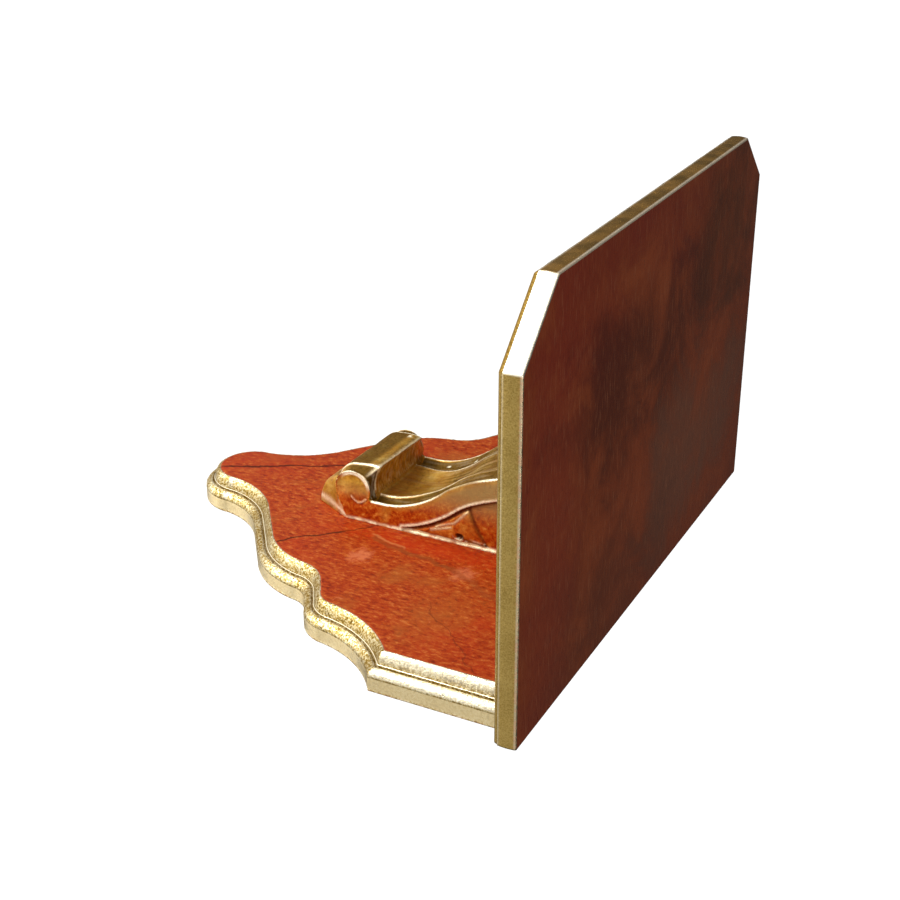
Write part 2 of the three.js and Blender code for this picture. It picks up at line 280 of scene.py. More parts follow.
class MeshDraft:
    """Gathers points, faces and masks of one piece, in millimetres, before it becomes a mesh."""

    def __init__(self) -> None:
        """Starts empty."""
        self.chunks: list[np.ndarray] = []
        self.mask_chunks: dict[Mask, list[np.ndarray]] = {mask: [] for mask in Mask}
        self.faces: list[tuple[int, ...]] = []
        self.slots: list[int] = []
        self.flat: list[bool] = []
        self.count = 0

    def add(self, points: np.ndarray, masks: dict[Mask, np.ndarray] | None = None) -> int:
        """Adds points.

        Args:
            points: Places, one a row.
            masks: What is painted on them; a mask that is left out is 0.

        Returns:
            The index of the first of them.
        """
        first = self.count
        given = masks or {}
        self.chunks.append(np.asarray(points, float))
        for mask, chunk in self.mask_chunks.items():
            chunk.append(np.broadcast_to(given.get(mask, 0.0), (len(points),)).astype(float))
        self.count += len(points)
        return first

    def face(self, corners: list[int], slot: int, flat: bool = True) -> None:
        """Adds one face.

        Args:
            corners: Its point numbers, in order.
            slot: Its finish.
            flat: False to shade it smoothly.
        """
        self.faces.append(tuple(int(corner) for corner in corners))
        self.slots.append(slot)
        self.flat.append(flat)

    def quads(self, index: np.ndarray, slots: np.ndarray | int, closed: bool = False) -> None:
        """Joins a grid of points by four-cornered faces.

        Args:
            index: The grid of point numbers.
            slots: The finish of each row of faces, or one for all.
            closed: True where the last column joins the first again.
        """
        if closed:
            index = np.concatenate([index, index[:, :1]], axis=1)
        rows, columns = index.shape
        row_slots = np.broadcast_to(slots, (rows - 1,))
        corners = np.stack([index[:-1, :-1], index[:-1, 1:], index[1:, 1:], index[1:, :-1]], axis=-1)
        self.faces.extend(map(tuple, corners.reshape(-1, 4).tolist()))
        self.slots.extend(np.repeat(row_slots, columns - 1).tolist())
        self.flat.extend([False] * ((rows - 1) * (columns - 1)))

    def points(self) -> np.ndarray:
        """Returns all points so far, one a row."""
        return np.concatenate(self.chunks)

    def painted(self, mask: Mask) -> np.ndarray:
        """Returns one mask over all points so far."""
        return np.concatenate(self.mask_chunks[mask])

    def finish(self, name: str, finishes: list[bpy.types.Material], relief: np.ndarray,
               limit: tuple[Vector, Vector]) -> bpy.types.Object:
        """Makes the object.

        Args:
            name: The piece's name.
            finishes: Its materials, in the order of the faces' slots.
            relief: How far each point is pushed out along the surface, in millimetres.
            limit: Lowest and highest corner, in metres, that no point may pass.

        Returns:
            The new object, linked to the scene.
        """
        mesh = bpy.data.meshes.new(name)
        mesh.from_pydata((self.points() * MM).tolist(), [], self.faces)
        for finish in finishes:
            mesh.materials.append(finish)
        mesh.polygons.foreach_set("material_index", self.slots)
        mesh.polygons.foreach_set("use_smooth", [not flat for flat in self.flat])
        shell = bmesh.new()  # every face is made to look outward
        shell.from_mesh(mesh)
        bmesh.ops.recalc_face_normals(shell, faces=shell.faces)
        shell.to_mesh(mesh)
        shell.free()
        mesh.update()
        places = np.empty(len(mesh.vertices) * 3)
        normals = np.empty(len(mesh.vertices) * 3)
        mesh.vertices.foreach_get("co", places)
        mesh.vertex_normals.foreach_get("vector", normals)
        moved = places.reshape(-1, 3) + normals.reshape(-1, 3) * relief[:, None] * MM
        moved = np.clip(moved, np.array(limit[0]), np.array(limit[1]))
        mesh.vertices.foreach_set("co", moved.ravel())
        for mask in Mask:
            values = self.painted(mask)
            if values.any():
                layer = mesh.attributes.new(mask.value, "FLOAT", "POINT")
                layer.data.foreach_set("value", values)
        mesh.update()
        piece = bpy.data.objects.new(name, mesh)
        bpy.context.scene.collection.objects.link(piece)
        return piece


class NodeBench:
    """Builds the nodes of one material or of the room."""

    def __init__(self, owner: bpy.types.Material | bpy.types.World) -> None:
        """Starts with no nodes but the places.

        Args:
            owner: What the nodes belong to.
        """
        self.owner = owner
        owner.use_nodes = True
        self.tree = owner.node_tree
        self.tree.nodes.clear()
        self.places = self.node("TexCoord", {}).outputs
        self.place = self.places["Object"]

    def node(self, kind: str, inputs: dict[str | int, object], **settings: object) -> bpy.types.Node:
        """Adds one node.

        Args:
            kind: Its type, without the ShaderNode in front.
            inputs: What goes into its inputs: sockets or plain values.
            settings: Its other properties.

        Returns:
            The node.
        """
        node = self.tree.nodes.new("ShaderNode" + kind)
        for name, value in settings.items():
            setattr(node, name, value)
        for name, value in inputs.items():
            if isinstance(value, bpy.types.NodeSocket):
                self.tree.links.new(value, node.inputs[name])
            else:
                node.inputs[name].default_value = value
        return node

    def mask(self, mask: Mask, share: float = 1.0) -> bpy.types.NodeSocket:
        """Returns a share of what is painted on the points.

        Args:
            mask: Which mask.
            share: How much of it.
        """
        painted = self.node("Attribute", {}, attribute_name=mask.value).outputs["Fac"]
        return painted if share == 1.0 else self.math("MULTIPLY", painted, share)

    def stretched(self, scale: Triple, turn: Triple = (0.0, 0.0, 0.0)) -> bpy.types.NodeSocket:
        """Returns the place, stretched and turned.

        Args:
            scale: How much finer along each axis.
            turn: Degrees about each axis.
        """
        angles = [math.radians(angle) for angle in turn]
        inputs = {"Vector": self.place, "Scale": scale, "Rotation": angles}
        return self.node("Mapping", inputs).outputs["Vector"]

    def noise(self, scale: float, detail: float = 3.0, roughness: float = 0.55, distortion: float = 0.0,
              place: bpy.types.NodeSocket | None = None) -> bpy.types.NodeSocket:
        """Returns clouds.

        Args:
            scale: Clouds per metre.
            detail: How many finer layers they carry.
            roughness: How strong the finer layers are.
            distortion: How far they are swirled.
            place: Where to read them, if not at the plain place.
        """
        return self.node("TexNoise", {"Vector": place or self.place, "Scale": scale, "Detail": detail,
                                      "Roughness": roughness, "Distortion": distortion}).outputs["Fac"]

    def math(self, operation: str, first: object, second: object = 0.0) -> bpy.types.NodeSocket:
        """Returns a sum, product or other reckoning of two values.

        Args:
            operation: Which one.
            first: A socket or a number.
            second: A socket or a number.
        """
        return self.node("Math", {0: first, 1: second}, operation=operation).outputs[0]

    def vector(self, operation: str, first: object, second: object, output: str) -> bpy.types.NodeSocket:
        """Returns a reckoning of two vectors.

        Args:
            operation: Which one.
            first: A socket or three numbers.
            second: A socket or three numbers.
            output: Value or Vector.
        """
        return self.node("VectorMath", {0: first, 1: second}, operation=operation).outputs[output]

    def rise(self, value: bpy.types.NodeSocket, low: float, high: float, least: float = 0.0,
             most: float = 1.0) -> bpy.types.NodeSocket:
        """Returns a smooth rise.

        Args:
            value: Where to read it.
            low: Where it leaves its least.
            high: Where it reaches its most.
            least: What it is at low.
            most: What it is at high.
        """
        return self.node("MapRange", {"Value": value, "From Min": low, "From Max": high, "To Min": least,
                                      "To Max": most}, interpolation_type="SMOOTHSTEP").outputs["Result"]

    def ramp(self, share: bpy.types.NodeSocket, stops: list[tuple[float, Colour]]) -> bpy.types.NodeSocket:
        """Returns a colour that runs through stops.

        Args:
            share: How far along it is.
            stops: Where each stop is, and its display colour.
        """
        node = self.node("ValToRGB", {"Fac": share})
        elements = node.color_ramp.elements
        while len(elements) > 1:
            elements.remove(elements[-1])
        elements[0].position = stops[0][0]
        elements[0].color = linear(stops[0][1])
        for position, colour in stops[1:]:
            elements.new(position).color = linear(colour)
        return node.outputs["Color"]

    def blend(self, share: bpy.types.NodeSocket, under: object, over: object) -> bpy.types.NodeSocket:
        """Returns one colour laid over another.

        Args:
            share: How much of the upper one shows.
            under: A socket or a display colour.
            over: A socket or a display colour.
        """
        lower, upper = (linear(colour) if isinstance(colour, tuple) else colour for colour in (under, over))
        return self.node("Mix", {0: share, 6: lower, 7: upper}, data_type="RGBA").outputs[2]

    def bump(self, height: bpy.types.NodeSocket, depth: float, strength: float = 1.0,
             under: bpy.types.NodeSocket | None = None) -> bpy.types.NodeSocket:
        """Returns a surface direction for small relief.

        Args:
            height: The relief, 0 to 1.
            depth: How many metres 1 stands for.
            strength: How much of it shows.
            under: Another relief that this one lies on.
        """
        inputs = {"Strength": strength, "Distance": depth, "Height": height}
        if under is not None:
            inputs["Normal"] = under
        return self.node("Bump", inputs).outputs["Normal"]

    def surface(self, **inputs: object) -> bpy.types.Material:
        """Adds the shader and the output.

        Args:
            inputs: The shader's inputs by name, with _ for a space: sockets or plain values.

        Returns:
            The finished material.
        """
        named = {name.replace("_", " "): value for name, value in inputs.items()}
        shader = self.node("BsdfPrincipled", named)
        self.node("OutputMaterial", {"Surface": shader.outputs["BSDF"]})
        return self.owner


def new_finish(name: str) -> NodeBench:
    """Starts a material.

    Args:
        name: Its name.

    Returns:
        The bench for its nodes.
    """
    return NodeBench(bpy.data.materials.new(name))


@dataclass(frozen=True)
class Gilding:
    """Gold leaf on a red ground, toned and rubbed, with painted highlights and painted shade.

    Attributes:
        name: The material's name.
        shadow: Where the toning lies thickest.
        middle: The leaf's usual colour.
        light: Where the leaf is rubbed clean.
        edge: The smooth edge's colour.
        grain: Grains of the punched ground per metre.
        grain_depth: How deep the grains are, in metres.
        gloss: Lowest and highest roughness.
    """

    name: str
    shadow: Colour = (98, 73, 14)
    middle: Colour = (206, 172, 84)
    light: Colour = (255, 244, 204)
    edge: Colour = (250, 226, 172)
    grain: float = 820.0
    grain_depth: float = 0.0005
    gloss: tuple[float, float] = (0.24, 0.42)

    def material(self) -> bpy.types.Material:
        """Returns the finish."""
        bench = new_finish(self.name)
        clouds = bench.noise(70.0, 3.0, 0.5)
        grains = bench.noise(self.grain, 3.0, 0.7)
        mixed = bench.math("ADD", bench.math("MULTIPLY", grains, 0.8), bench.math("MULTIPLY", clouds, 0.2))
        leaf = bench.ramp(mixed, [(0.38, self.shadow), (0.47, self.middle), (0.58, self.light)])
        leaf = bench.blend(bench.mask(Mask.SMOOTH, 0.8), leaf, self.edge)
        # painted shade: dark brown leaf with less metal on the shelf's front edge
        shade = bench.ramp(clouds, [(0.35, (56, 34, 10)), (0.65, (112, 78, 34))])
        leaf = bench.blend(bench.mask(Mask.PAINTED_LIGHT_AND_SHADE, 0.85), leaf, shade)
        # painted highlight: near-white leaf
        leaf = bench.blend(bench.mask(Mask.PAINTED_HIGHLIGHT, 0.9), leaf, (255, 248, 226))
        # dirt and painted shade: dark olive leaf, rougher and with less metal
        dirt = bench.math("MULTIPLY", bench.mask(Mask.DIRT_AND_SHADE), bench.rise(grains, 0.4, 0.62, 1.0, 0.7))
        leaf = bench.blend(dirt, leaf, (104, 76, 8))
        patches = bench.noise(420.0, 3.0, 0.7)
        worn = bench.math("MULTIPLY", bench.mask(Mask.WORN), bench.rise(patches, 0.42, 0.56))
        colour = bench.blend(worn, leaf, (196, 110, 78))
        metal = bench.rise(bench.math("MAXIMUM", worn, bench.math("MULTIPLY", dirt, 0.7)), 0.0, 1.0, 1.0, 0.2)
        metal = bench.math("MULTIPLY", metal, bench.rise(bench.mask(Mask.PAINTED_LIGHT_AND_SHADE), 0.0, 1.0, 1.0, 0.35))
        rough = bench.rise(bench.noise(260.0, 4.0, 0.6), 0.3, 0.7, self.gloss[0], self.gloss[1])
        rough = bench.math("MAXIMUM", rough, bench.math("MULTIPLY", dirt, 0.7))
        punched = bench.math("MULTIPLY", grains, bench.rise(bench.mask(Mask.SMOOTH), 0.0, 1.0, 1.0, 0.25))
        relief = bench.bump(punched, self.grain_depth)
        relief = bench.bump(bench.noise(2200.0, 2.0, 0.6), 0.00006, 1.0, relief)
        return bench.surface(Base_Color=colour, Metallic=metal, Roughness=rough, Normal=relief,
                             Specular_IOR_Level=0.08)


@dataclass(frozen=True)
class SoftPatch:
    """A broad soft patch of another tone.

    Attributes:
        centre: Where its middle is, in metres.
        reach: How far it spreads along each axis, in metres.
        colour: Its display colour.
        strength: How much it covers in its middle.
    """

    centre: Triple
    reach: Triple
    colour: Colour
    strength: float

    def cover(self, bench: NodeBench, clouds: bpy.types.NodeSocket) -> bpy.types.NodeSocket:
        """Returns where the patch covers the ground.

        Args:
            bench: The material's nodes.
            clouds: What breaks its border.
        """
        node = bench.node("Mapping", {"Vector": bench.place}, vector_type="TEXTURE")
        node.inputs["Location"].default_value = self.centre
        node.inputs["Scale"].default_value = self.reach
        away = bench.vector("LENGTH", node.outputs["Vector"], (0.0, 0.0, 0.0), "Value")
        off = bench.math("ADD", away, bench.rise(clouds, 0.3, 0.7, -0.5, 0.5))
        return bench.rise(off, 1.3, 0.2, 0.0, self.strength)


@dataclass(frozen=True)
class DarkLacquer:
    """Dark red-brown lacquer over wood, with fine streaks and broad soft patches of darker, redder and greyer
    colour.
    """

    name: str = "shelf_lacquer"
    slant: float = 22.0
    areas: tuple[SoftPatch, ...] = (
        SoftPatch((0.125, -0.10, 0.0), (0.035, 0.16, 1.0), (128, 42, 22), 0.5),
        SoftPatch((0.09, -0.19, 0.0), (0.08, 0.05, 1.0), (116, 32, 14), 0.5),
        SoftPatch((0.0, -0.20, 0.0), (0.06, 0.04, 1.0), (118, 34, 16), 0.45),
        SoftPatch((0.02, -0.135, 0.0), (0.09, 0.045, 1.0), (66, 22, 6), 0.65),
        SoftPatch((-0.12, -0.17, 0.0), (0.05, 0.06, 1.0), (76, 38, 14), 0.65),
        SoftPatch((-0.07, -0.06, 0.0), (0.09, 0.05, 1.0), (112, 72, 52), 0.65),
        SoftPatch((0.05, -0.02, 0.0), (0.08, 0.05, 1.0), (84, 42, 24), 0.4),
    )

    def material(self) -> bpy.types.Material:
        """Returns the finish."""
        bench = new_finish(self.name)
        slant = (0.0, 0.0, self.slant)
        streaks = bench.noise(900.0, 5.0, 0.7, 0.3, bench.stretched((1.0, 0.2, 1.0), slant))
        clouds = bench.noise(20.0, 5.0, 0.62, 0.6)
        base = bench.ramp(clouds, [(0.3, (106, 42, 14)), (0.5, (122, 51, 18)), (0.7, (138, 62, 26))])
        for area in self.areas:
            base = bench.blend(area.cover(bench, clouds), base, area.colour)
        base = bench.blend(bench.rise(streaks, 0.5, 0.75, 0.0, 0.3), base, (146, 84, 48))
        base = bench.blend(bench.rise(streaks, 0.46, 0.3, 0.0, 0.35), base, (56, 18, 4))
        hairlines = bench.noise(1500.0, 2.0, 0.5, 0.0, bench.stretched((1.0, 0.05, 1.0), slant))
        base = bench.blend(bench.rise(hairlines, 0.58, 0.7, 0.0, 0.3), base, (176, 116, 80))
        rough = bench.rise(streaks, 0.3, 0.7, 0.24, 0.38)
        relief = bench.bump(streaks, 0.00003)
        relief = bench.bump(bench.noise(40.0, 2.0), 0.0006, 0.35, relief)
        return bench.surface(Base_Color=base, Roughness=rough, Normal=relief, Coat_Weight=0.1,
                             Coat_Roughness=0.16, Specular_IOR_Level=0.12)


@dataclass(frozen=True)
class Vein:
    """One painted vein on the back plate's front.

    Attributes:
        start: Across and up, in millimetres.
        end: Across and up, in millimetres.
        width: Half its width, in millimetres.
        colour: Its display colour.
        strength: How much it covers.
        wobble: How far it wanders, in millimetres.
    """

    start: tuple[float, float]
    end: tuple[float, float]
    width: float
    colour: Colour
    strength: float
    wobble: float


@dataclass(frozen=True)
class MarbledRed:
    """Orange-red paint with mottling and brown veins, under varnish."""

    name: str = "plate_red"
    areas: tuple[SoftPatch, ...] = (
        SoftPatch((0.042, 0.0, -0.05), (0.011, 1.0, 0.06), (176, 44, 14), 0.4),
        # painted reflections: these two pale patches
        SoftPatch((0.066, 0.0, -0.084), (0.008, 1.0, 0.006), (200, 116, 76), 0.55),
        SoftPatch((0.06, 0.0, -0.026), (0.008, 1.0, 0.006), (200, 116, 76), 0.5),
        SoftPatch((0.1, 0.0, -0.02), (0.03, 1.0, 0.022), (160, 88, 32), 0.3),
        SoftPatch((-0.02, 0.0, -0.19), (0.03, 1.0, 0.03), (150, 40, 14), 0.4),
        SoftPatch((-0.1, 0.0, 0.0), (0.04, 1.0, 0.05), (170, 60, 24), 0.4),
    )
    veins: tuple[Vein, ...] = (
        Vein((9.6, -212.5), (-8.7, -175.7), 1.3, (70, 20, 6), 0.95, 1.6),
        Vein((-7.7, -177.5), (-24.0, -146.0), 1.2, (70, 20, 6), 0.9, 1.6),
        Vein((75.0, -135.0), (46.3, -105.1), 1.2, (70, 22, 6), 0.9, 1.6),
        Vein((46.6, -105.6), (31.0, -90.0), 0.9, (90, 30, 8), 0.8, 1.4),
        Vein((45.6, -88.0), (58.0, -34.0), 3.2, (120, 60, 24), 0.55, 3.0),
        Vein((42.6, -90.0), (48.0, -66.0), 1.4, (190, 120, 70), 0.45, 2.0),
        Vein((56.0, -40.0), (76.0, 4.0), 3.4, (130, 60, 26), 0.5, 3.0),
        Vein((-70.0, -128.0), (-38.0, -98.0), 0.9, (80, 26, 8), 0.8, 2.4),
        Vein((-118.0, -62.0), (-44.0, -20.0), 1.1, (80, 26, 8), 0.8, 3.4),
        Vein((-60.0, 30.0), (-104.0, -20.0), 3.2, (124, 62, 26), 0.45, 4.0),
        Vein((140.0, 20.0), (92.0, -30.0), 0.6, (96, 36, 14), 0.5, 2.8),
    )

    def vein_mask(self, bench: NodeBench, vein: Vein, wander: bpy.types.NodeSocket) -> bpy.types.NodeSocket:
        """Paints one vein.

        Args:
            bench: The material's nodes.
            vein: The vein.
            wander: Clouds that bend it.

        Returns:
            Where it covers the ground.
        """
        way = Vector((vein.end[0] - vein.start[0], 0.0, vein.end[1] - vein.start[1])) * MM
        length = way.length
        start = (vein.start[0] * MM, 0.0, vein.start[1] * MM)
        from_start = bench.vector("SUBTRACT", bench.place, start, "Vector")
        along = bench.vector("DOT_PRODUCT", from_start, way / (length * length), "Value")
        aside = bench.vector("DOT_PRODUCT", from_start, Vector((-way.z, 0.0, way.x)) / length, "Value")
        wobble = vein.wobble * MM
        bend = bench.rise(wander, 0.25, 0.75, -wobble, wobble)
        off = bench.math("ABSOLUTE", bench.math("ADD", aside, bend))
        body = bench.rise(off, vein.width * MM, vein.width * MM * 0.25, 0.0, vein.strength)
        ends = bench.math("MULTIPLY", bench.rise(along, -0.04, 0.03), bench.rise(along, 1.04, 0.94))
        return bench.math("MULTIPLY", body, ends)

    def material(self) -> bpy.types.Material:
        """Returns the finish."""
        bench = new_finish(self.name)
        brushed = bench.stretched((1.0, 1.0, 0.45))
        mottle = bench.noise(560.0, 5.0, 0.74, 0.3, brushed)
        clouds = bench.noise(26.0, 4.0, 0.6, 0.5)
        base = bench.ramp(mottle, [(0.33, (104, 28, 6)), (0.45, (144, 46, 10)), (0.55, (156, 62, 16)),
                                   (0.67, (182, 100, 44))])
        base = bench.blend(bench.rise(clouds, 0.5, 0.75, 0.0, 0.45), base, (166, 44, 12))
        base = bench.blend(bench.rise(clouds, 0.45, 0.28, 0.0, 0.5), base, (148, 82, 30))
        speckle = bench.noise(210.0, 5.0, 0.75, 0.8)
        for area in self.areas:
            base = bench.blend(area.cover(bench, speckle), base, area.colour)
        wander = bench.noise(55.0, 3.0, 0.6)
        for vein in self.veins:
            base = bench.blend(self.vein_mask(bench, vein, wander), base, vein.colour)
        flecks = bench.rise(bench.noise(150.0, 5.0, 0.75, 0.6), 0.64, 0.74, 0.0, 0.5)
        base = bench.blend(flecks, base, (206, 118, 76))
        # dirt and painted shade: a dark line along the moulding's inner edge
        base = bench.blend(bench.mask(Mask.DIRT_AND_SHADE), base, (84, 26, 10))
        # painted highlight: a pale salmon line along the field's edge
        base = bench.blend(bench.mask(Mask.PAINTED_HIGHLIGHT, 0.7), base, (206, 108, 66))
        rough = bench.rise(mottle, 0.3, 0.7, 0.32, 0.5)
        relief = bench.bump(mottle, 0.0001)
        return bench.surface(Base_Color=base, Roughness=rough, Normal=relief, Specular_IOR_Level=0.06)


@dataclass(frozen=True)
class CarvedFinish:
    """The console's finish: toned gilding on the front and a red glaze over gold on the sides, with painted
    highlights, painted light and dirt with painted shade.
    """

    name: str = "console_gilt_and_red"

    def material(self) -> bpy.types.Material:
        """Returns the finish."""
        bench = new_finish(self.name)
        clouds = bench.noise(110.0, 5.0, 0.6, 0.3)
        fine = bench.noise(650.0, 5.0, 0.65)
        gilt = bench.ramp(clouds, [(0.3, (176, 112, 24)), (0.46, (212, 150, 48)), (0.62, (232, 180, 80)),
                                   (0.78, (244, 206, 120))])
        gilt = bench.blend(bench.rise(fine, 0.48, 0.3, 0.0, 0.5), gilt, (140, 80, 12))
        glaze = bench.ramp(bench.noise(300.0, 6.0, 0.7, 0.4),
                           [(0.32, (128, 30, 2)), (0.45, (172, 60, 8)), (0.57, (192, 96, 24)),
                            (0.7, (222, 148, 66))])
        # painted light: a paler, greener glaze toward the front of the sides and on the disc's upper part
        glaze = bench.blend(bench.mask(Mask.PAINTED_LIGHT_AND_SHADE, 0.9), glaze, (166, 138, 82))
        gold = bench.math("ADD", bench.mask(Mask.GOLD), bench.rise(clouds, 0.3, 0.7, -0.08, 0.08))
        gold = bench.rise(gold, 0.05, 0.95)
        colour = bench.blend(gold, glaze, gilt)
        # dirt and painted shade: dark brown, rougher and with less metal
        dirt = bench.math("MULTIPLY", bench.mask(Mask.DIRT_AND_SHADE), bench.rise(fine, 0.25, 0.6, 1.0, 0.9))
        colour = bench.blend(dirt, colour, bench.blend(gold, (84, 26, 4), (70, 48, 4)))
        # painted highlight: near-white colour on rims, ridges, lines and glints
        bright = bench.math("MULTIPLY", bench.mask(Mask.PAINTED_HIGHLIGHT), bench.rise(fine, 0.36, 0.5, 0.7, 1.1))
        spark = bench.blend(gold, (255, 238, 196), (255, 248, 216))
        colour = bench.blend(bright, colour, spark)
        metal = bench.rise(gold, 0.0, 1.0, 0.35, 0.92)
        metal = bench.math("MULTIPLY", metal, bench.rise(bright, 0.0, 1.0, 1.0, 0.45))
        metal = bench.math("MULTIPLY", metal, bench.rise(dirt, 0.0, 0.9, 1.0, 0.1))
        rough = bench.rise(fine, 0.3, 0.7, 0.34, 0.5)
        rough = bench.math("MAXIMUM", rough, bench.math("MULTIPLY", dirt, 0.8))
        relief = bench.bump(fine, 0.00018)
        return bench.surface(Base_Color=colour, Metallic=metal, Roughness=rough, Normal=relief,
                             Specular_IOR_Level=0.08)


@dataclass(frozen=True)
class BareWood:
    """The hidden sides: stained wood with its grain, left plain."""

    name: str
    dark: Colour = (84, 54, 34)
    pale: Colour = (132, 92, 60)
    grain: Triple = (1.0, 1.0, 0.06)

    def material(self) -> bpy.types.Material:
        """Returns the finish."""
        bench = new_finish(self.name)
        grain = bench.noise(260.0, 5.0, 0.62, 0.5, bench.stretched(self.grain))
        rings = bench.noise(60.0, 3.0, 0.55, 0.8, bench.stretched(self.grain))
        base = bench.ramp(grain, [(0.3, self.dark), (0.7, self.pale)])
        base = bench.blend(bench.rise(rings, 0.5, 0.62, 0.0, 0.6), base, self.dark)
        rough = bench.rise(grain, 0.3, 0.7, 0.55, 0.75)
        return bench.surface(Base_Color=base, Roughness=rough, Normal=bench.bump(grain, 0.00012))


@dataclass(frozen=True)
class Row:
    """One line that runs round a board on its edge, in millimetres.

    Attributes:
        inward: How far in from the outline it lies.
        off: How far below the shelf's top, or out from the wall.
        coat: The finish of the faces between it and the next.
        masks: What is painted on it.
        grain: How much of the fine relief it takes.
    """

    inward: float
    off: float
    coat: int
    masks: dict[Mask, float]
    grain: float = 0.0


@dataclass
class Shelf:
    """The board on top, with clipped front corners and a gilded moulded edge."""

    width: float = 320.0
    depth: float = 213.0
    thickness: float = 12.0
    right_clip: tuple[float, float] = (34.0, 33.0)
    left_clip: tuple[float, float] = (30.0, 27.0)
    arris: float = 0.9
    band_swell: float = 0.4
    band_step: float = 0.8
    foot_round: float = 2.4
    foot_height: float = 2.6
    spacing: float = 0.8
    front_side: int = 3
    clip_sides: tuple[int, int] = (2, 4)

    def plan(self) -> np.ndarray:
        """Returns the board's corners, clockwise as seen from below, from the wall's left end."""
        half = self.width / 2.0
        return np.array([
            (-half, 0.0), (half, 0.0), (half, self.right_clip[1] - self.depth),
            (half - self.right_clip[0], -self.depth), (self.left_clip[0] - half, -self.depth),
            (-half, self.left_clip[1] - self.depth),
        ])

    def edge(self) -> list[Row]:
        """Returns the edge's rows from the top down."""
        lacquer, gilt, wood = ShelfCoat
        swell = self.band_swell
        foot = self.thickness - self.foot_height
        step = swell + self.band_step
        inner = step + self.foot_round
        start = np.array([swell + self.arris, 0.0])
        rows = [
            Row(8.0, 0.0, lacquer, {}),
            Row(3.0, 0.0, lacquer, {}),
            Row(start[0] + 0.35, 0.0, lacquer, {Mask.DIRT_AND_SHADE: 0.3}),
            # painted highlight and wear along the top arris
            Row(start[0], 0.0, gilt, {Mask.WORN: 0.6, Mask.PAINTED_HIGHLIGHT: 0.3}),
        ]
        for point in round_quarter(start, np.array([swell, self.arris]), True, 5):
            rows.append(Row(point[0], point[1], gilt, {Mask.WORN: 0.35, Mask.PAINTED_HIGHLIGHT: 0.4}))
        # wear near the top of the band, painted highlight near its foot
        for share in np.linspace(0.0, 1.0, 15)[1:]:
            down = self.arris + (foot - self.arris) * share
            inward = swell * (1.0 - 4.0 * share * (1.0 - share))
            masks = {Mask.WORN: 0.2 * float(ease(share, 0.2, 0.0)),
                     Mask.PAINTED_HIGHLIGHT: 0.35 * float(ease(share, 0.86, 1.0))}
            rows.append(Row(inward, down, gilt, masks))
        # painted highlight on the step's edge
        rows.append(Row(swell + 0.25, foot + 0.12, gilt, {Mask.PAINTED_HIGHLIGHT: 0.3}))
        # dirt and painted shade in the step and on the foot's round below it
        rows.append(Row(step - 0.1, foot + 0.14, gilt, {Mask.DIRT_AND_SHADE: 1.0}))
        rows.append(Row(step, foot + 0.4, gilt, {Mask.DIRT_AND_SHADE: 0.9}))
        start, end = np.array([step, foot + 0.3]), np.array([inner, self.thickness])
        for point in round_quarter(start, end, False, 8)[:-1]:
            rows.append(Row(point[0], point[1], gilt, {Mask.DIRT_AND_SHADE: 0.55}))
        rows.append(Row(inner, self.thickness, wood, {Mask.WORN: 0.5}))
        rows.append(Row(inner + 1.0, self.thickness, wood, {Mask.DIRT_AND_SHADE: 0.4}))
        rows.append(Row(inner + 8.0, self.thickness, wood, {}))
        return rows

    def side_counts(self) -> list[int]:
        """Returns how many parts each side of the plan is divided into."""
        plan = self.plan()
        lengths = np.linalg.norm(np.roll(plan, -1, axis=0) - plan, axis=1)
        return [max(2, round(length / self.spacing)) for length in lengths]

    def side_numbers(self) -> np.ndarray:
        """Returns the number of the side that each point of a ring lies on, 0 at the wall."""
        return np.repeat(np.arange(6), self.side_counts())

    def ring(self, inward: float, from_wall: float = 0.0) -> np.ndarray:
        """Moves the plan's sides inward and divides them.

        Args:
            inward: How far, in millimetres.
            from_wall: How far the side at the wall is moved.

        Returns:
            The ring's points, one a row.
        """
        plan = self.plan()
        sides = np.roll(plan, -1, axis=0) - plan
        normals = np.stack([sides[:, 1], -sides[:, 0]], axis=1) / np.linalg.norm(sides, axis=1)[:, None]
        distances = np.array([from_wall] + [inward] * 5)
        corners = []
        for i in range(len(plan)):
            pair = np.array([normals[i - 1], normals[i]])
            corners.append(plan[i] + np.linalg.solve(pair, [distances[i - 1], distances[i]]))
        line = []
        for i, count in enumerate(self.side_counts()):
            shares = np.arange(count)[:, None] / count
            line.append(corners[i] + (corners[(i + 1) % len(corners)] - corners[i]) * shares)
        return np.concatenate(line)

    def build(self) -> bpy.types.Object:
        """Builds the board.

        Returns:
            The dressed object.
        """
        draft = MeshDraft()
        rows = self.edge()
        side = self.side_numbers()
        front = (side == self.front_side).astype(float)
        clip = np.isin(side, self.clip_sides).astype(float)
        plain = np.maximum(front, clip)
        band_end = self.thickness - self.foot_height
        flat_from = {0.0: self.band_swell + self.arris,
                     self.thickness: self.band_swell + self.band_step + self.foot_round}
        firsts = []
        for row in rows:
            ring = self.ring(row.inward, row.inward - flat_from.get(row.off, row.inward))
            points = np.column_stack([ring, np.full(len(ring), SHELF_TOP - row.off)])
            # painted highlight along the front's top arris
            arris_highlight = 0.12 * front * (row.off < self.arris and row.inward < flat_from[0.0] + 0.1)
            # painted highlight: the clipped corners' band near white
            clip_highlight = clip * (row.off < band_end)
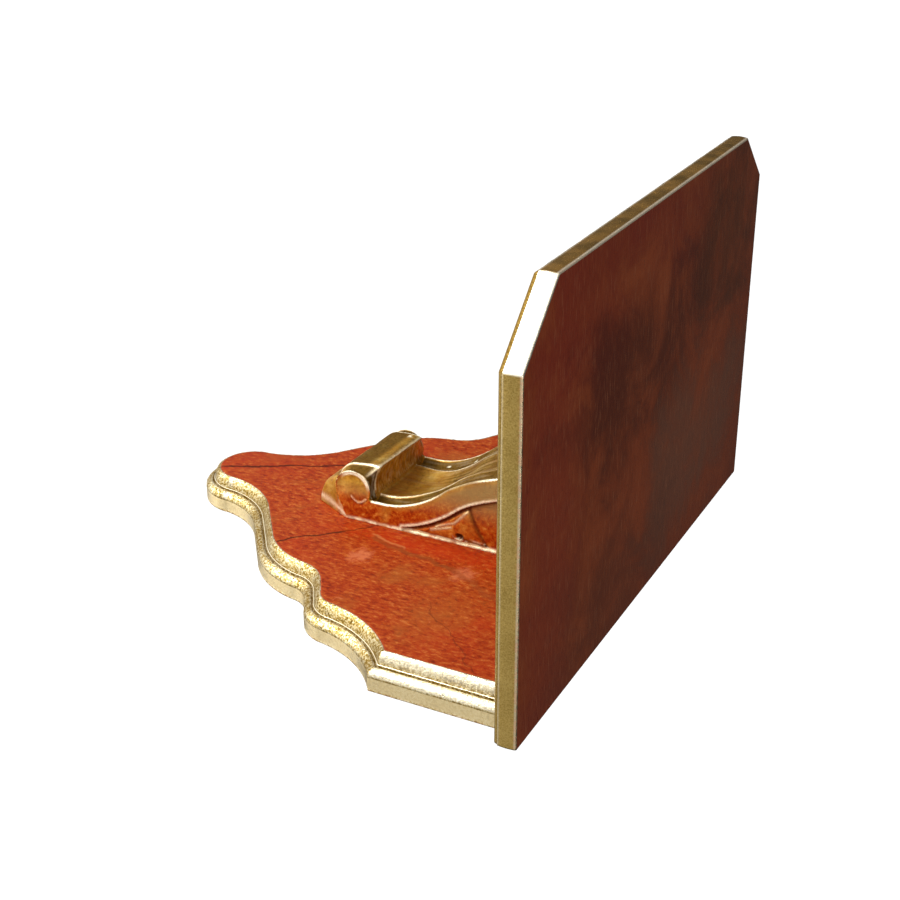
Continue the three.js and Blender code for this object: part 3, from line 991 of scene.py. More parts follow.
            # painted shade on the foot below the clipped corners
            below_clip_shade = 0.95 * clip * (row.off >= band_end)
            firsts.append(draft.add(points, {
                # painted shade on the whole front edge
                Mask.PAINTED_LIGHT_AND_SHADE: front,
                Mask.SMOOTH: 0.5 + 0.5 * plain,
                Mask.WORN: row.masks.get(Mask.WORN, 0.0) * (1.0 - 0.8 * plain),
                Mask.PAINTED_HIGHLIGHT: np.maximum(row.masks.get(Mask.PAINTED_HIGHLIGHT, 0.0), np.maximum(arris_highlight, clip_highlight)),
                Mask.DIRT_AND_SHADE: np.maximum(row.masks.get(Mask.DIRT_AND_SHADE, 0.0), below_clip_shade),
            }))
        index = np.array(firsts)[:, None] + np.arange(len(side))[None, :]
        draft.quads(index, np.array([row.coat for row in rows[:-1]]), closed=True)
        at_wall = np.tile(side == 0, len(rows) - 1)
        laid = np.array(draft.slots)
        draft.slots = np.where(at_wall & (laid == ShelfCoat.GILT), int(ShelfCoat.WOOD), laid).tolist()
        draft.face(list(index[0][::-1]), ShelfCoat.LACQUER)
        draft.face(list(index[-1]), ShelfCoat.WOOD)
        places = draft.points()
        on_edge = ease(places[:, 2], SHELF_TOP - 0.02, SHELF_TOP - 1.2)
        on_edge *= ease(places[:, 2], SHELF_UNDERSIDE + 0.02, SHELF_UNDERSIDE + 0.6)
        on_edge *= ease(places[:, 1], -0.3, -2.0)
        relief = (0.05 * hills(places, 1.6, 3) + 0.08 * hills(places, 9.0, 4) - 0.08) * on_edge
        finishes = [
            DarkLacquer().material(),
            Gilding("shelf_gilding", (140, 112, 48), (172, 142, 74), (202, 172, 100), (178, 148, 80),
                    1300.0, 0.0002).material(),
            BareWood("shelf_underside_wood", (70, 34, 22), (104, 56, 36), (0.06, 1.0, 1.0)).material(),
        ]
        return draft.finish("shelf_board", finishes, relief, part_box("shelf"))


@dataclass(frozen=True)
class Stretch:
    """One straight or round stretch of the back plate's outline, clockwise, in millimetres."""

    start: tuple[float, float]
    end: tuple[float, float]
    rise: float

    def way(self) -> np.ndarray:
        """Returns the chord."""
        return np.array(self.end) - np.array(self.start)

    def radius(self) -> float:
        """Returns the radius, positive where the outline bulges out, 0 on a straight stretch."""
        if self.rise == 0.0:
            return 0.0
        chord = float(np.linalg.norm(self.way()))
        return (chord * chord / 4.0 + self.rise * self.rise) / (2.0 * self.rise)

    def centre(self) -> np.ndarray:
        """Returns the middle of the circle."""
        way = self.way()
        left = np.array([-way[1], way[0]]) / np.linalg.norm(way)
        middle = (np.array(self.start) + np.array(self.end)) / 2.0
        return middle + left * (self.rise - self.radius())

    def inward(self, point: np.ndarray) -> tuple[float, np.ndarray]:
        """Measures how far in from the stretch a point lies.

        Args:
            point: The point.

        Returns:
            The distance, and the direction that increases it.
        """
        if self.rise == 0.0:
            way = self.way() / np.linalg.norm(self.way())
            normal = np.array([way[1], -way[0]])
            return float((point - np.array(self.start)) @ normal), normal
        spoke = point - self.centre()
        reach = float(np.linalg.norm(spoke))
        if self.rise > 0.0:
            return self.radius() - reach, -spoke / reach
        return reach + self.radius(), spoke / reach

    def between(self, first: np.ndarray, last: np.ndarray, count: int) -> np.ndarray:
        """Points that follow the stretch from one point beside it to another.

        Args:
            first: Where they begin.
            last: Where they stop; it isn't included.
            count: How many.

        Returns:
            The points, one a row.
        """
        shares = np.arange(count)[:, None] / count
        if self.rise == 0.0:
            return first + (last - first) * shares
        centre = self.centre()
        from_centre, to_centre = first - centre, last - centre
        begin = math.atan2(from_centre[1], from_centre[0])
        turn = math.atan2(to_centre[1], to_centre[0]) - begin
        turn = (turn + math.pi) % (2.0 * math.pi) - math.pi
        angle = begin + turn * shares
        radius = np.linalg.norm(from_centre) * (1.0 - shares) + np.linalg.norm(to_centre) * shares
        return centre + radius * np.concatenate([np.cos(angle), np.sin(angle)], axis=1)


@dataclass
class BackPlate:
    """The board against the wall, with a serpentine outline and a gilded edge of two rounds."""

    half_width: float = 149.0
    drop: float = 262.0
    thickness: float = PLATE_FRONT
    gap: float = 0.3
    lower_round: tuple[float, float] = (4.0, 4.0)
    groove_width: float = 1.15
    groove_depth: float = 0.7
    ledge_rise: float = 0.9
    upper_round: tuple[float, float] = (3.75, 6.2)
    spacing: float = 0.62
    # painted shade on the rounds where the outline runs across, painted highlight where it runs straight up
    # and down
    steep_shade: float = 0.85
    straight_light: float = 0.6
    nodes: tuple[tuple[float, float, float], ...] = (
        (1.0, 0.268, 0.0), (0.827, 0.433, -0.107), (0.741, 0.495, 0.117), (0.674, 0.519, 0.0),
        (0.631, 0.563, -0.113), (0.472, 0.705, 0.1), (0.305, 0.777, 0.0), (0.185, 0.895, -0.098),
        (0.0, 1.0, 0.207),
    )

    def stretches(self) -> list[Stretch]:
        """Returns the whole outline, clockwise from the top end."""
        right: list[Stretch] = []
        start = (self.half_width, -self.gap)
        for across, down, bow in self.nodes:
            end = (across * self.half_width, -down * self.drop)
            chord = math.dist(start, end)
            right.append(Stretch(start, end, bow * chord))
            start = end
        left = [Stretch((-s.end[0], s.end[1]), (-s.start[0], s.start[1]), s.rise) for s in reversed(right)]
        top = Stretch((-self.half_width, -self.gap), (self.half_width, -self.gap), 0.0)
        return [top, *right, *left]

    def ring(self, inward: float, from_end: float = 0.0) -> np.ndarray:
        """Follows the outline at a distance inside it.

        Args:
            inward: The distance, in millimetres.
            from_end: The distance at the top end.

        Returns:
            The ring's points, one a row.
        """
        parts = self.stretches()
        wanted = [from_end] + [inward] * (len(parts) - 1)
        corners = []
        for i, part in enumerate(parts):
            before = parts[i - 1]
            point = np.array(part.start)
            for _ in range(12):
                first, first_way = before.inward(point)
                second, second_way = part.inward(point)
                miss = np.array([first - wanted[i - 1], second - wanted[i]])
                point = point - np.linalg.pinv(np.array([first_way, second_way]), rcond=0.12) @ miss
            corners.append(point)
        line = []
        for i, part in enumerate(parts):
            length = float(np.linalg.norm(part.way()))
            spacing = self.spacing * (4.0 if i == 0 else 1.0)
            count = max(3, round(length / spacing))
            line.append(part.between(corners[i], corners[(i + 1) % len(parts)], count))
        return np.concatenate(line)

    def moulding(self) -> list[Row]:
        """Returns the moulding's rows from the wall forward."""
        gilt, red, wood = PlateCoat
        upper_out = self.thickness - self.upper_round[1]
        upper_in = self.lower_round[0] + self.groove_width
        ledge = upper_out - self.ledge_rise
        base = ledge - self.lower_round[1]
        rows = [
            Row(6.0, 0.0, wood, {}),
            # wear, with dirt and painted shade at the wall
            Row(0.6, 0.0, gilt, {Mask.WORN: 0.6, Mask.DIRT_AND_SHADE: 0.3}),
            Row(0.15, 0.15, gilt, {Mask.WORN: 0.6}, 0.1),
            Row(0.0, 0.6, gilt, {Mask.WORN: 0.3}, 0.2),
        ]
        for out in np.linspace(0.6, base - 0.7, 7)[1:]:
            rows.append(Row(0.0, float(out), gilt, {Mask.SMOOTH: 1.0}, 0.3))
        # dirt and painted shade where the straight edge meets the lower round
        rows.append(Row(0.0, base - 0.3, gilt, {Mask.SMOOTH: 1.0, Mask.DIRT_AND_SHADE: 0.1}, 0.3))
        rows.append(Row(0.12, base - 0.1, gilt, {Mask.DIRT_AND_SHADE: 0.75}, 0.2))
        rows.append(Row(0.12, base + 0.15, gilt, {Mask.DIRT_AND_SHADE: 0.6}, 0.3))
        start = np.array([0.0, base + 0.25])
        # painted highlight on the top of the lower round
        for point in round_quarter(start, np.array([self.lower_round[0], ledge]), False, 9):
            bright = float(ease(point[0], 3.0, self.lower_round[0]))
            rows.append(Row(point[0], point[1], gilt, {Mask.PAINTED_HIGHLIGHT: 0.6 * bright}, 1.0))
        middle = self.lower_round[0] + self.groove_width / 2.0
        # dirt and painted shade in the groove and up its wall
        rows.append(Row(self.lower_round[0] + 0.1, ledge - 0.15, gilt, {Mask.DIRT_AND_SHADE: 0.7}, 0.2))
        rows.append(Row(middle - 0.32, ledge - self.groove_depth, gilt, {Mask.DIRT_AND_SHADE: 1.0}))
        rows.append(Row(middle + 0.2, ledge - self.groove_depth + 0.02, gilt, {Mask.DIRT_AND_SHADE: 1.0}))
        rows.append(Row(upper_in - 0.2, ledge - 0.1, gilt, {Mask.DIRT_AND_SHADE: 0.8}))
        rows.append(Row(upper_in - 0.15, ledge + 0.15, gilt, {Mask.DIRT_AND_SHADE: 1.0}))
        rows.append(Row(upper_in - 0.08, ledge + 0.45, gilt, {Mask.DIRT_AND_SHADE: 0.9}))
        # painted highlight on the ledge
        rows.append(Row(upper_in - 0.02, upper_out - 0.22, gilt, {Mask.PAINTED_HIGHLIGHT: 0.7, Mask.SMOOTH: 1.0}))
        rows.append(Row(upper_in + 0.28, upper_out - 0.12, gilt, {Mask.PAINTED_HIGHLIGHT: 0.8, Mask.SMOOTH: 1.0}))
        # dirt and painted shade in the crease under the upper round
        rows.append(Row(upper_in + 0.5, upper_out - 0.3, gilt, {Mask.DIRT_AND_SHADE: 1.0}))
        start = np.array([upper_in + 0.55, upper_out])
        end = np.array([upper_in + self.upper_round[0], self.thickness])
        # painted shade on the upper round's outer flank
        for point in round_quarter(start, end, False, 12):
            flank_shade = float(ease(point[1], upper_out + 3.6, upper_out))
            rows.append(Row(point[0], point[1], gilt, {Mask.DIRT_AND_SHADE: 0.5 * flank_shade}, 1.0))
        inner = end[0]
        # painted highlight and wear on the arris at the field
        rows[-1] = Row(inner, self.thickness, gilt, {Mask.PAINTED_HIGHLIGHT: 0.5, Mask.WORN: 0.4}, 0.3)
        # dirt and painted shade in a line along the field, then a painted highlight on the field's edge
        rows.append(Row(inner + 0.22, self.thickness - 0.16, red, {Mask.DIRT_AND_SHADE: 0.9}))
        rows.append(Row(inner + 0.5, self.thickness, red, {Mask.PAINTED_HIGHLIGHT: 0.5}))
        rows.append(Row(inner + 0.9, self.thickness, red, {}))
        return rows

    def build(self) -> bpy.types.Object:
        """Builds the board.

        Returns:
            The dressed object.
        """
        draft = MeshDraft()
        rows = self.moulding()
        firsts = []
        grain = []
        lip = rows[-2].inward - 0.05
        flat_from = {0: rows[1].inward, len(rows) - 2: lip, len(rows) - 1: lip}
        for i, row in enumerate(rows):
            ring = self.ring(row.inward, row.inward - flat_from.get(i, row.inward))
            points = np.column_stack([ring[:, 0], np.full(len(ring), -row.off), SHELF_UNDERSIDE + ring[:, 1]])
            along = np.roll(ring, -1, axis=0) - np.roll(ring, 1, axis=0)
            level = np.abs(along[:, 0]) / np.linalg.norm(along, axis=1)
            punched = row.grain > 0.5
            # painted shade on the punched rounds where the outline runs across
            painted_steep_shade = self.steep_shade * ease(level, 0.45, 0.8) * punched
            dirt = np.maximum(row.masks.get(Mask.DIRT_AND_SHADE, 0.0), painted_steep_shade)
            # painted highlight on the punched rounds where the outline runs straight up and down
            straight_highlight = self.straight_light * ease(level, 0.2, 0.02) * punched * (1.0 - dirt)
            bright = np.maximum(row.masks.get(Mask.PAINTED_HIGHLIGHT, 0.0), straight_highlight)
            firsts.append(draft.add(points, {**row.masks, Mask.DIRT_AND_SHADE: dirt, Mask.PAINTED_HIGHLIGHT: bright}))
            grain.append(np.full(len(ring), row.grain))
        index = np.array(firsts)[:, None] + np.arange(len(ring))[None, :]
        draft.quads(index, np.array([row.coat for row in rows[:-1]]), closed=True)
        draft.face(list(index[0][::-1]), PlateCoat.WOOD)
        draft.face(list(index[-1]), PlateCoat.RED)
        places = draft.points()
        share = np.concatenate(grain) * ease(places[:, 2], SHELF_UNDERSIDE - 0.4, SHELF_UNDERSIDE - 2.0)
        relief = (0.13 * hills(places, 1.15, 11) + 0.06 * hills(places, 2.6, 12)
                  + 0.07 * hills(places, 11.0, 13) - 0.1) * share
        finishes = [
            Gilding("moulding_gilding").material(),
            MarbledRed().material(),
            BareWood("plate_back_wood").material(),
        ]
        return draft.finish("back_board", finishes, relief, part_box("back_plate"))


@dataclass
class Console:
    """The carved scroll bracket: fluted front, scroll at the foot, red sides with a leaf.

    Its side view has down from the shelf first and out from the back plate second, in millimetres.
    """

    half_width: float = 31.0
    flare: float = 1.5
    drop: float = 179.0
    projection: float = 48.0
    band_depth: float = 12.5
    side_recess: float = 1.6
    front_arris: float = 1.2
    vein_sink: float = 0.4
    outer_flute: float = 1.9
    middle_flute: float = 3.0
    roll_radius: float = 12.8
    crest_height: float = 30.7
    taper: float = 0.08
    nose_share: float = 0.63
    nose_reach: float = 0.972
    nose_end_reach: float = 0.842
    disc_radius: float = 11.1
    body_end: float = 0.758
    embed: float = 0.35
    side_spacing: float = 0.8
    trunk_rows: int = 190
    columns: int = 121
    scroll_middle: tuple[float, float] = (0.817, 0.367)
    crest_down: float = 0.742
    vein_place: tuple[float, float] = (0.484, 0.645)
    foot_out: float = 0.275
    sweep_turn: tuple[float, float] = (0.503, 0.6)
    eye_place: tuple[float, float] = (0.451, 0.09)
    stalk_place: tuple[float, float] = (0.359, 0.02)
    crevice_end: tuple[float, float] = (66.0, 1.8)
    leaf_ribs: tuple[tuple[tuple[float, float], ...], ...] = (
        ((95.0, 6.8), (84.0, 11.5), (76.5, 19.5)),
        ((98.0, 4.6), (86.0, 8.4)),
    )
    hook_line: tuple[tuple[float, float], ...] = (
        (146.9, 13.6), (145.9, 12.3), (144.4, 11.1), (142.8, 10.6), (141.0, 10.9), (139.4, 11.9),
        (138.2, 13.2),
    )
    trunk_line: np.ndarray = field(init=False)
    trunk_inward: np.ndarray = field(init=False)
    trunk_share: np.ndarray = field(init=False)

    def __post_init__(self) -> None:
        """Lays out the sweep of the front."""
        turn = self.at(*self.sweep_turn)
        lower = bezier([self.at(0.71, self.foot_out), self.at(0.626, self.foot_out), self.at(0.542, 0.469),
                        turn], 200)
        upper = bezier([turn, self.at(0.453, 0.748), self.at(0.307, 1.0), self.at(0.14, 1.0)], 200)
        ends = [self.at(0.752, self.foot_out)[None], self.at(0.0, 1.0)[None]]
        line = spread(np.concatenate([ends[0], lower, upper[1:], ends[1]]), self.trunk_rows)[::-1]
        along = np.gradient(line, axis=0)
        along = along / np.linalg.norm(along, axis=1)[:, None]
        self.trunk_line = line
        self.trunk_inward = np.stack([along[:, 1], -along[:, 0]], axis=1)
        self.trunk_share = np.linspace(1.0, 0.0, self.trunk_rows)

    def at(self, down: float, out: float) -> np.ndarray:
        """Returns a point of the side view, from shares of the drop and the projection."""
        return np.array([down * self.drop, out * self.projection])

    def around(self, radius: float, degrees: np.ndarray | float) -> np.ndarray:
        """Returns points on a circle about the middle of the scroll, by degrees from the shelf's side."""
        angle = np.radians(np.atleast_1d(degrees))
        spokes = np.stack([-np.cos(angle), np.sin(angle)], axis=1)
        return self.at(*self.scroll_middle) + radius * spokes

    def vein_at(self) -> np.ndarray:
        """Returns how far across the vein between the flutes runs, for each row of the trunk."""
        foot, top = self.vein_place[1], self.vein_place[0]
        return foot + (top - foot) * ease(self.trunk_share, 0.0, 0.23)

    def size_at(self, across: float) -> float:
        """Returns how large the scroll is at a place across, next to its right end."""
        return 1.0 - self.taper * (1.0 - across) / 2.0

    def flute_depth(self, across: float) -> np.ndarray:
        """How deep the front is cut at one place across, down the whole trunk.

        Args:
            across: From -1 to 1, as a share of half the width.

        Returns:
            A depth for each row of the trunk, in millimetres.
        """
        share = self.trunk_share
        place = abs(across) * self.half_width
        edge = self.half_width - self.front_arris
        vein = self.half_width * self.vein_at()
        fade = 0.35 + 0.65 * ease(share, 0.0, 0.2)
        spoon = 1.0 + 0.6 * ease(share, 0.25, 0.05)
        outer_way = np.clip((edge - place) / (edge - vein), 0.0, 1.0)
        middle_way = np.clip(place / vein, 0.0, 1.0)
        outer = self.vein_sink * outer_way + self.outer_flute * 4.0 * outer_way * (1.0 - outer_way) * spoon
        middle = self.vein_sink + self.middle_flute * (1.0 - middle_way ** 2) * fade
        depth = np.where(place < vein, middle, outer)
        over_edge = max(0.0, place - edge) / self.front_arris
        return depth + 0.45 * over_edge ** 3

    def scroll_body(self, across: float, rows: tuple[int, int, int, int], start: np.ndarray) -> np.ndarray:
        """Side view of the scroll at a place across.

        Args:
            across: From -1 to 1, as a share of half the width.
            rows: Points on the wall, the crest, the roll and the nose.
            start: Where the wall leaves the trunk.

        Returns:
            The points, one a row.
        """
        side = across / self.body_end
        size = self.size_at(across)
        radius = self.roll_radius * size
        crest = np.array([self.crest_down * self.drop, self.crest_height * size])
        top = self.around(radius, 90.0)[0]
        wall = bezier([start, self.at(0.772, 0.44), crest], rows[0] + 1)[1:]
        handles = [crest, crest + np.array([2.0, 1.6]), top + np.array([-4.0, 0.5]), top]
        over = bezier(handles, rows[1] + 1)[1:]
        nose_start = 194.0 + (166.0 - 194.0) * side * side
        roll = self.around(radius, np.linspace(90.0, nose_start, rows[2] + 1)[1:])
        tapered = max(0.0, (abs(across) - self.nose_share) / (1.0 - self.nose_share))
        rounded = min(1.0, abs(across) / self.nose_share)
        reach = (1.0 - (1.0 - self.nose_reach) * rounded ** 2 if tapered == 0.0
                 else self.nose_reach + (self.nose_end_reach - self.nose_reach) * tapered)
        nose = round_quarter(roll[-1], self.at(reach, 0.0), True, rows[3])
        return np.concatenate([wall, over, roll, nose])

    def scroll_end(self, side: Side, rows: tuple[int, int, int, int], start: np.ndarray) -> np.ndarray:
        """Side view of the scroll's flat end: the same run of points about the disc.

        Args:
            side: Which end.
            rows: Points on the wall, the crest, the roll and the nose.
            start: Where the wall leaves the trunk.

        Returns:
            The points, one a row.
        """
        radius = self.disc_radius * self.size_at(side.value)
        first = np.concatenate([start[None], self.around(radius, np.linspace(-20.0, 45.0, 40))])
        wall = spread(first, rows[0] + 1)[1:]
        over = self.around(radius, np.linspace(45.0, 90.0, rows[1] + 1)[1:])
        roll = self.around(radius, np.linspace(90.0, 175.0, rows[2] + 1)[1:])
        under = np.concatenate([self.around(radius, np.linspace(175.0, 205.0, 20)),
                                self.at(self.nose_end_reach, 0.0)[None]])
        nose = spread(under, rows[3] + 1)[1:]
        return np.concatenate([wall, over, roll, nose])

    def front_grid(self) -> tuple[np.ndarray, np.ndarray, np.ndarray]:
        """Lays the carved front from the shelf over the scroll down to the back plate.

        Returns:
            The places across, the side view of each, and the row numbers where the wall, the crest, the
            roll and the nose begin.
        """
        rows = (26, 12, 40, 36)
        even = np.linspace(-1.0, 1.0, self.columns)
        middle = self.at(*self.scroll_middle)
        rims = np.array([self.body_end + offset for offset in (-0.03, -0.012, 0.0, 0.012, 0.03)])
        edges = np.array([0.945, 0.961, 0.972, 0.984, 0.994])
        places = np.unique(np.concatenate([even, rims, -rims, edges, -edges]).round(5))
        views = []
        for across in places:
            trunk = self.trunk_line + self.trunk_inward * self.flute_depth(across)[:, None]
            within = float(np.clip(across, -self.body_end, self.body_end))
            body = self.scroll_body(within, rows, trunk[-1])
            beyond = (abs(across) - self.body_end) / (1.0 - self.body_end)
            if beyond > 0.0:
                side = Side.RIGHT if across > 0.0 else Side.LEFT
                end = self.scroll_end(side, rows, trunk[-1])
                body = body + (end - body) * beyond
                hollow = 1.5 * math.sin(math.pi * min(1.0, beyond)) ** 1.2
                away = body - middle
                reach = np.linalg.norm(away, axis=1)[:, None]
                fade = np.ones(len(body))
                fade[:rows[0]] = np.linspace(0.0, 1.0 if side is Side.RIGHT else 0.2, rows[0])
                fade[-rows[3]:] = np.linspace(1.0, 0.0, rows[3])
                body = body - away / reach * hollow * fade[:, None]
            last = body[-1] + np.array([0.0, -self.embed])
            views.append(np.concatenate([trunk, body, last[None]]))
        starts = np.cumsum([self.trunk_rows, *rows[:-1]])
        return places, np.array(views), starts

    def front_masks(self, places: np.ndarray, views: np.ndarray,
                    starts: np.ndarray) -> dict[Mask, np.ndarray]:
        """Paints the front: its gold, painted highlights, and dirt with painted shade.

        Args:
            places: The places across.
            views: The side view of each.
            starts: Where the wall, the crest, the roll and the nose begin.

        Returns:
            Each mask as a grid like the views.
        """
        wide = np.abs(places)[:, None] * np.ones(views.shape[1])[None, :]
        row = np.arange(views.shape[1])[None, :] * np.ones(len(places))[:, None]
        wall, crest, roll, nose = (float(start) for start in starts)
        in_trunk = row < wall
        share = np.concatenate([self.trunk_share, np.zeros(views.shape[1] - self.trunk_rows)])
        soft = 1.0 - 0.85 * ease(share, 0.24, 0.34) * ease(share, 0.56, 0.46)
        # painted highlights follow: the front's arrises, the vein, the crest's lip, the scroll's rims, a curl
        # beside the crest, the disc's rim, a line on the nose and a line along the base
        ridge = np.where(in_trunk, ease(wide, 0.95, 0.967), 0.0) * soft[None, :]
        vein = np.concatenate([self.vein_at(), np.full(len(share) - self.trunk_rows, self.vein_place[1])])
        across_vein = wide - vein[None, :]
        vein_line = np.where(in_trunk, peak(across_vein * self.half_width, 0.45), 0.0)
        vein_line = vein_line * (0.15 + 0.85 * ease(share, 0.45, 0.2)[None, :])
        lip = peak(row, 1.3, crest) * ease(wide, 0.99, 0.8)
        rim = np.where(row > wall + 6.0, peak((wide - self.body_end) * self.half_width, 0.6), 0.0)
        # painted highlight standing for a small carved curl beside the crest
        near_curl = peak((places - self.body_end + 0.05) * self.half_width, 0.8)[:, None]
        curl = 1.2 * near_curl * peak(row, 3.5, crest - 3.0)
        disc_rim = np.where(row > wall + 12.0, ease(wide, 0.975, 0.995), 0.0)
        nose_line = np.where(row > nose + 20.0, ease(wide, 0.86, 0.97), 0.0)
        last = views.shape[1] - 1.0
        base_line = np.where(row > nose, peak(row, 2.2, last - 5.0), 0.0)
        right = (places > 0.0)[:, None]
        rim = rim * (right | (row > crest))
        bright = ridge * 0.9 + vein_line * 0.8 + lip * 0.55 + rim * (row < nose) + curl
        bright = bright + disc_rim * ease(row, nose + 6.0, crest + 8.0) + nose_line * 0.4 + base_line * 0.6
        # dirt and painted shade follow: in the corner at the wall, under the crest, in the bevel round the
        # disc, in the outer flutes, over the trunk, on the roll's top and on the nose
        corner = peak(row, 5.0, wall)
        under_crest = np.where((row > wall) & (row < crest), 0.12, 0.0)
        bevel = np.where(row > wall, ease(wide, 0.772, 0.79) * ease(wide, 0.985, 0.965), 0.0)
        bevel = bevel * ease(row, nose + 8.0, roll + 6.0) * (right | (row > crest))
        flute = 0.95 * ease(across_vein, 0.005, 0.04) * ease(wide, 0.96, 0.93) * in_trunk
        trunk_toning_and_shade = 0.85 * ease(share, 0.04, 0.26)[None, :] * in_trunk
        roll_top = ease(row, crest + 1.0, crest + 7.0) * ease(row, nose + 16.0, nose - 4.0) * (wide < 0.77)
        nose_tone = 0.4 * ease(row, nose - 2.0, nose + 8.0) * (wide < 0.86)
        dirt = corner * 0.35 + under_crest + bevel + np.maximum(flute, trunk_toning_and_shade) + np.maximum(roll_top, nose_tone)
        bright = np.clip(bright, 0.0, 1.0)
        return {Mask.GOLD: np.ones_like(wide), Mask.PAINTED_HIGHLIGHT: bright,
                Mask.DIRT_AND_SHADE: np.clip(dirt * (1.0 - bright), 0.0, 1.0)}

    def band_line(self) -> np.ndarray:
        """Returns the lower edge of the scroll band in side view, from the shelf down to the back plate."""
        line = self.trunk_line + self.trunk_inward * self.band_depth
        return line[(line[:, 1] > -1.0) & (self.trunk_line[:, 0] < 0.66 * self.drop)]

    def leaf_outline(self) -> tuple[np.ndarray, np.ndarray]:
        """Returns the leaf's upper edge and its right edge, in side view."""
        line = self.trunk_line + self.trunk_inward * (self.band_depth + 1.6)
        within = (self.trunk_line[:, 0] > 0.455 * self.drop) & (self.trunk_line[:, 0] < 0.645 * self.drop)
        upper = line[within]
        stalk = self.at(*self.stalk_place)
        right = bezier([upper[0], (upper[0] + stalk) / 2.0 + np.array([1.6, -0.8]), stalk], 12)
        return upper, right

    def side_relief(self, places: np.ndarray, side: Side) -> tuple[np.ndarray, dict[Mask, np.ndarray]]:
        """Carves one side and paints it: gold, painted highlights, painted light, and dirt with painted
        shade.

        Args:
            places: Points of the side view, one a row.
            side: Which side.

        Returns:
            How far in each point is cut, and the masks.
        """
        band = self.band_line()
        off_band, _ = near_line(places, band)
        order = np.argsort(band[:, 0])
        edge_out = np.interp(places[:, 0], band[order, 0], band[order, 1])
        below = (places[:, 1] < edge_out) & (places[:, 0] < band[:, 0].max())
        cut = np.where(below, self.side_recess * ease(off_band, 0.0, 0.9), 0.0)
        flat = np.column_stack([places, np.zeros(len(places))])
        bead = peak(off_band, 0.85, 0.6)
        upper, right = self.leaf_outline()
        leaf_line = np.concatenate([upper[::-1], right])
        off_leaf, _ = near_line(places, np.concatenate([leaf_line, leaf_line[:1]]))
        inside = inside_of(places, leaf_line)
        cut = np.where(inside, self.side_recess - (self.side_recess - 0.3) * ease(off_leaf, 0.0, 1.1), cut)
        off_right, _ = near_line(places, right)
        off_upper, _ = near_line(places, upper)
        rib_light = np.zeros(len(places))
        for rib in self.leaf_ribs:
            off_rib, _ = near_line(places, np.array(rib))
            cut = cut + np.where(inside, 0.35 * peak(off_rib, 0.5, 0.9), 0.0)
            rib_light = rib_light + np.where(inside, peak(off_rib, 0.55), 0.0)
        eye = self.at(*self.eye_place)
        hole = np.linalg.norm((places - eye) * np.array([0.85, 1.2]), axis=1) + 0.5 * hills(flat, 2.2, 35)
        cut = np.where(hole < 2.6, np.maximum(cut, 2.6 * ease(hole, 2.4, 1.0)), cut)
        off_crevice, _ = near_line(places, np.array([eye - [0.0, 1.0], self.crevice_end]))
        crevice = peak(off_crevice, 0.7)
        cut = cut + 0.5 * crevice
        centre = self.at(*self.scroll_middle)
        from_disc = np.linalg.norm(places - centre, axis=1)
        angle = np.degrees(np.arctan2(places[:, 1] - centre[1], centre[0] - places[:, 0]))
        upper_half = ease(angle, -30.0, 20.0) * ease(angle, 200.0, 150.0)
        upper_half = np.where(angle < -120.0, ease(angle + 360.0, 215.0, 190.0), upper_half)
        radius = self.disc_radius * self.size_at(side.value)
        in_disc = ease(from_disc, radius - 0.5, radius - 1.5)
        rim_arc = ease(from_disc, radius - 2.9, radius - 1.9) * (from_disc < radius + 0.6)
        rim_arc = rim_arc * ease(angle, 0.0, 30.0) * ease(angle, 150.0, 110.0)
        cut = cut + 0.55 * in_disc * (0.25 + 0.75 * upper_half) * ease(from_disc, 3.0, 8.0)
        off_hook, _ = near_line(places, np.array(self.hook_line))
        cut = cut - 0.28 * peak(off_hook, 0.5) + 0.3 * peak(off_hook, 0.55, 1.2)
        high = places[:, 1]
        trunk_side = ease(places[:, 0], 134.0, 122.0)
        gold = in_disc * (0.12 + 0.5 * ease(high, 12.0, 22.0)) + rib_light * 0.45 + rim_arc
        gold = gold + in_disc * 0.38 * ease(high, 20.0, 27.0)
        gold = gold + trunk_side * 0.5 * ease(off_band, 7.0, 12.0) * ~below
        gold = gold + np.where(below, 0.0, 0.75 * bead) + np.where(inside, 0.25, 0.0)
        # painted highlights: the band's bead, the hook, the leaf's ribs and the disc's rim arc
        bright = np.where(below, 0.0, 1.5 * bead) * (0.6 + 0.4 * ease(hills(flat, 2.6, 34), -0.3, 0.3))
        bright = bright + 0.6 * peak(off_hook, 0.38) + rib_light * 0.5 + rim_arc
        # a gilded line along the base, painted as a broken highlight
        broken = 0.35 + 0.65 * ease(hills(flat, 5.0, 31) + 0.4 * hills(flat, 1.6, 32), -0.3, 0.4)
        base_line = peak(high - 0.35 * hills(flat, 3.0, 33), 0.8, 0.5) * broken
        # painted glints at the eye and along the crevice
        glint = ease(hills(flat, 1.3, 36), 0.0, 0.4)
        bright = bright + 1.5 * base_line + peak(hole, 0.5, 2.8) * 0.8 * glint
        bright = bright + peak(off_crevice, 0.5, 1.0) * 0.6 * glint
        # dirt and painted shade: along the band's edge, in the eye and the crevice, along the leaf's edges
        # and beside the hook
        groove = np.where(below & ~inside, ease(off_band, 2.4, 0.8), 0.0)
        dirt = groove * 0.9 + np.where(hole < 2.2, 1.0, 0.0) + crevice * 0.9
        dirt = dirt + np.where(below, peak(off_right, 0.8) * 0.8 + peak(off_upper, 0.7) * 0.7, 0.0)
        dirt = dirt + peak(off_hook, 0.5, 1.1) * 0.4
